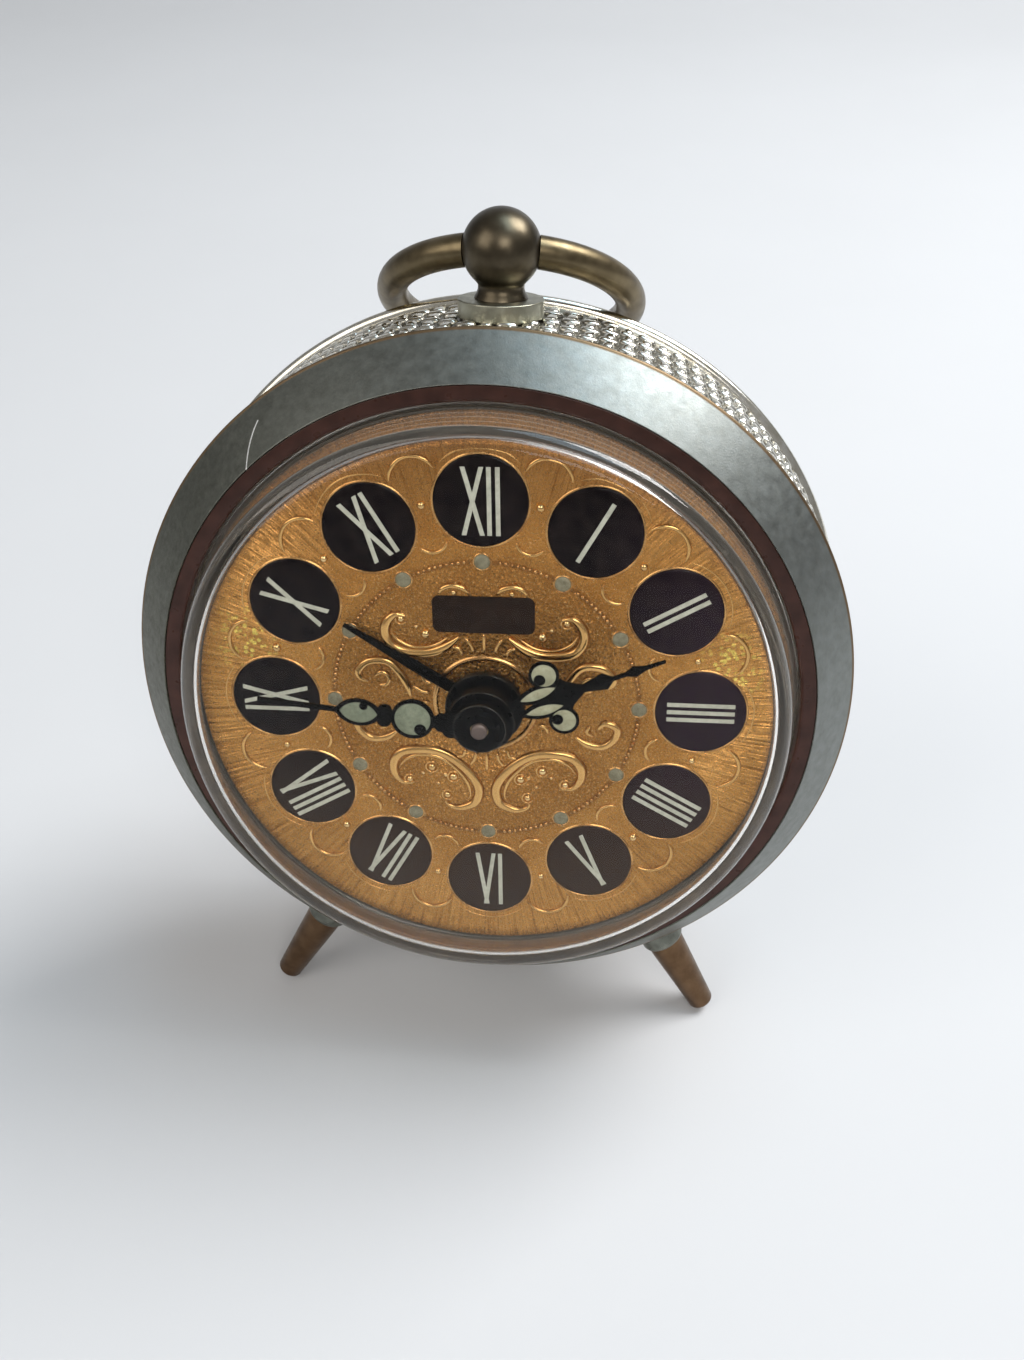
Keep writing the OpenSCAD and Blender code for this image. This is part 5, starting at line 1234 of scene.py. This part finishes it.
def foot_profiles(skin, end, flange_h, collar_h, below):
    """Peg, flange and collar from the skin of the case to the foot's end."""
    flange_top = skin + flange_h
    start = flange_top + collar_h
    shown = start + COLLAR_SHOWN
    flat_r = END_R - END_ROUND
    peg = [(0, start - 0.4), (1.6, start - 0.4), (TOP_R - 0.12, start), (TOP_R, start + 0.15),
           (END_R + 0.03, end - END_ROUND)]
    peg += [(flat_r + END_ROUND * math.cos(t), end - END_ROUND + END_ROUND * math.sin(t))
            for t in angles(15, 76, 15)]
    peg += [(flat_r, end), (0, end)]
    flange = rounded([(0, skin - below), (FLANGE_R, skin - below), (FLANGE_R, flange_top), (0, flange_top)],
                     0.18, closed=False)
    collar = rounded([(0, flange_top), (FLANGE_R - 0.05, flange_top), (FLANGE_R - 0.2, flange_top + 0.5),
                      (TOP_R + 0.3, shown - 0.35), (TOP_R + 0.1, shown), (0, shown)], 0.15, closed=False)
    return peg, flange, collar

print("a foot can be drawn")

# %% [markdown]
# Two feet stand in front, spread to the sides. The third stands on the sloping flank of the back
# cover and slants backwards. The table is level and the clock leans, so the length of the rear foot
# isn't typed: it follows from where its axis starts and how steeply it points down.

# %% Feet
FOOT_DEPTH, FOOT_SPREAD, FOOT_REACH = 10.4, 29.7, 57.399
FLANGE_H, COLLAR_H, FLANGE_SUNK = 2.2, 2.2, 0.12
REAR_SLANT, REAR_FLANGE_H, REAR_COLLAR_H = 45, 1.0, 1.6
COVER_SEAT, COVER_FLANK, COVER_WALL = 20.9, 4.6, 0.8
COVER_R = BAND_R - BAND_WALL - 0.05

flank_depth = COVER_SEAT + COVER_WALL + COVER_FLANK / 2
flank_drop = COVER_R - COVER_WALL - COVER_FLANK / 2
along_axis = Matrix.Rotation(math.pi / 2, 4, "X")
slanted = Matrix.Rotation(math.radians(180 + REAR_SLANT), 4, "X")
rear_place = CLOCK @ Matrix.Translation((0, flank_depth, -flank_drop)) @ slanted @ along_axis
rear_axis = (rear_place.to_3x3() @ Vector((0, 1, 0))).normalized()
side_drop = math.sqrt(max(0.0, 1 - rear_axis.z ** 2))
rear_drop = rear_place.translation.z * 1000 - END_ROUND - (END_R - END_ROUND) * side_drop
rear_len = rear_drop / -rear_axis.z + END_ROUND
print("rear foot points", [round(c, 3) for c in rear_axis], "and is %.2f mm long" % rear_len)

def front_place(side):
    spread = Matrix.Rotation(math.radians(180 - side * FOOT_SPREAD), 4, "Y")
    return CLOCK @ Matrix.Translation((0, FOOT_DEPTH, 0)) @ spread @ along_axis

front_foot = foot_profiles(BAND_R, FOOT_REACH, FLANGE_H, COLLAR_H, FLANGE_SUNK)
rear_foot = foot_profiles(0, rear_len, REAR_FLANGE_H, REAR_COLLAR_H, 0.0)
flanges, collars = [], []
for node, place, (peg, flange, collar) in (("foot_left", front_place(-1), front_foot),
                                           ("foot_right", front_place(1), front_foot),
                                           ("foot_rear", rear_place, rear_foot)):
    turned(node + "_dressed", peg, "case", "foot_brass", (node,), place, closed=False, segments=96)
    flanges.append(turned_mesh(flange, place, False, 96))
    collars.append(turned_mesh(collar, place, False, 96))
finish_piece("foot_flanges_dressed", joined(flanges), "case", "flange_brown", stands_for=("foot_flanges",))
finish_piece("foot_collars_dressed", joined(collars), "case", "collar_grey", stands_for=("foot_collars",))

# %% [markdown]
# The back carries what the hand uses: two wing keys, two fluted knobs, the regulator, the stop
# button and four screws. Their solids have the right shapes, and only their sharp edges are wrong.

# %% Back cover, keys and knobs
softened("back_cover", 0.2)
for node, edge, finish in (("time_winding_key", 0.3, "key_brass"), ("alarm_winding_key", 0.3, "key_brass"),
                           ("time_setting_knob", 0.12, "key_brass"),
                           ("alarm_setting_knob", 0.12, "key_brass"),
                           ("back_cover_screws", 0.12, "button_grey"),
                           ("regulator_lever", 0.1, "button_grey"),
                           ("alarm_stop_button", 0.2, "button_grey")):
    softened(node, edge, finish=finish)

# %% [markdown]
# The movement inside keeps the solids as they are, since every tooth and pinion is already cut. A
# frame node may take a new material but never a new shape. Each gets the finish of its own slot.

# %% Finishes on the movement
for name, node in frame["nodes"].items():
    node.data.materials.clear()
    node.data.materials.append(finishes[slot_of_node[name]])
print("solids with a finish:", len(frame["nodes"]))

# %% [markdown]
# The clock stands on a plain pale table. A studio would use a sheet of paper that curves up behind
# it. Here a floor and an upright sheet of the same colour do, joined by a wide bend. Both are stage,
# not part of the clock. They are drawn in metres, as everything on the table is.

# %% Table and backdrop
PAPER = (0.56, 0.56, 0.565)
SHEET_FRONT, SHEET_BACK, SHEET_BEND, SHEET_TOP, SHEET_SIDE = -1.3, 0.9, 0.35, 1.4, 2.2

paper = Finish("pale paper")
cloud = paper.spread(paper.noise(0.02, 4.0), 0.3, 0.7)
paper_tone = paper.blend(cloud, tuple(c * 0.985 for c in PAPER), PAPER)
bend_start = SHEET_BACK - SHEET_BEND
sheet_profile = [(SHEET_FRONT, 0.0), (bend_start, 0.0)]
sheet_profile += [(bend_start + SHEET_BEND * math.sin(t), SHEET_BEND * (1 - math.cos(t)))
                  for t in angles(6, 91, 6)]
sheet_profile += [(SHEET_BACK, SHEET_TOP)]
points = [(x, y, z) for y, z in sheet_profile for x in (-SHEET_SIDE, SHEET_SIDE)]
faces = [(2 * i, 2 * i + 1, 2 * i + 3, 2 * i + 2) for i in range(len(sheet_profile) - 1)]
sheet = bpy.data.meshes.new("paper")
sheet.from_pydata(points, [], faces)
for polygon in sheet.polygons:
    polygon.use_smooth = True
sheet.materials.append(paper.done(paper.surface(paper_tone, 0.75)))
table = bpy.data.objects.new("paper_sweep", sheet)
bpy.context.scene.collection.objects.link(table)
print("paper laid")

# %% [markdown]
# Metal shows what stands round it, so the lamps are large and soft. The main one hangs high at the
# right and a little behind. A bluish one above draws the line of light along the crystal's upper
# edge, and two weak warm ones fill from the front, at the left and at the right. The world adds a
# plain grey to mirror from below and from the sides.

# %% Lamps
def lamp(name, place, aim_at, size, power, colour):
    data = bpy.data.lights.new(name, "AREA")
    data.shape, data.size, data.size_y = "RECTANGLE", size[0], size[1]
    data.energy, data.color = power, colour
    light = bpy.data.objects.new(name, data)
    light.location = place
    light.rotation_euler = (Vector(aim_at) - Vector(place)).to_track_quat("-Z", "Y").to_euler()
    bpy.context.scene.collection.objects.link(light)

LIT_SPOT = (0.0, 0.0, 0.05)
ROOM_GREY, ROOM_STRENGTH = (0.90, 0.90, 0.91, 1), 0.3
lamp("main", (0.50, 0.30, 0.75), LIT_SPOT, (0.45, 0.45), 9.0, (0.99, 0.995, 1.0))
lamp("above", (0.25, 0.15, 0.95), LIT_SPOT, (0.7, 0.35), 2.6, (0.60, 0.82, 1.0))
lamp("fill", (-0.7, -0.5, 0.7), LIT_SPOT, (0.7, 0.7), 3.4, (1.0, 0.96, 0.91))
lamp("front", (0.25, -0.8, 0.75), LIT_SPOT, (0.5, 0.4), 3.4, (1.0, 0.98, 0.96))
world = bpy.data.worlds.new("room")
world.use_nodes = True
bpy.context.scene.world = world
background = world.node_tree.nodes["Background"]
background.inputs["Color"].default_value = ROOM_GREY
background.inputs["Strength"].default_value = ROOM_STRENGTH
bpy.context.scene.view_settings.view_transform = "Standard"
print("lamps set")

# %% [markdown]
# The camera stands in front, a little to the right and well above, near enough for strong
# perspective. Its place and directions were worked out from the dial's outline and its circles of
# marks, so they are written from the dial's middle, in millimetres and in the dial's own directions.

# %% Camera
EYE = Vector((15.14, -118.67, 65.46))
LOOK, UP = Vector((-0.09063, 0.88093, -0.46448)), Vector((-0.03519, 0.46327, 0.88552))
SENSOR, LENS = 36.0, 32.57
camera_data = bpy.data.cameras.new("camera")
camera_data.sensor_fit = "VERTICAL"
camera_data.sensor_width = camera_data.sensor_height = SENSOR
camera_data.lens = LENS
camera_data.clip_start = 0.01
camera = bpy.data.objects.new("camera", camera_data)
turn_to_room = (DIAL.to_3x3() @ Matrix.Diagonal((1000, 1000, 1000))).normalized()
look = (turn_to_room @ LOOK).normalized()
side = look.cross(turn_to_room @ UP).normalized()
above = side.cross(look)
camera.matrix_world = Matrix.Translation(DIAL @ EYE) @ Matrix((side, above, -look)).transposed().to_4x4()
bpy.context.scene.collection.objects.link(camera)
bpy.context.scene.camera = camera
print("camera at", [round(c, 4) for c in camera.location])
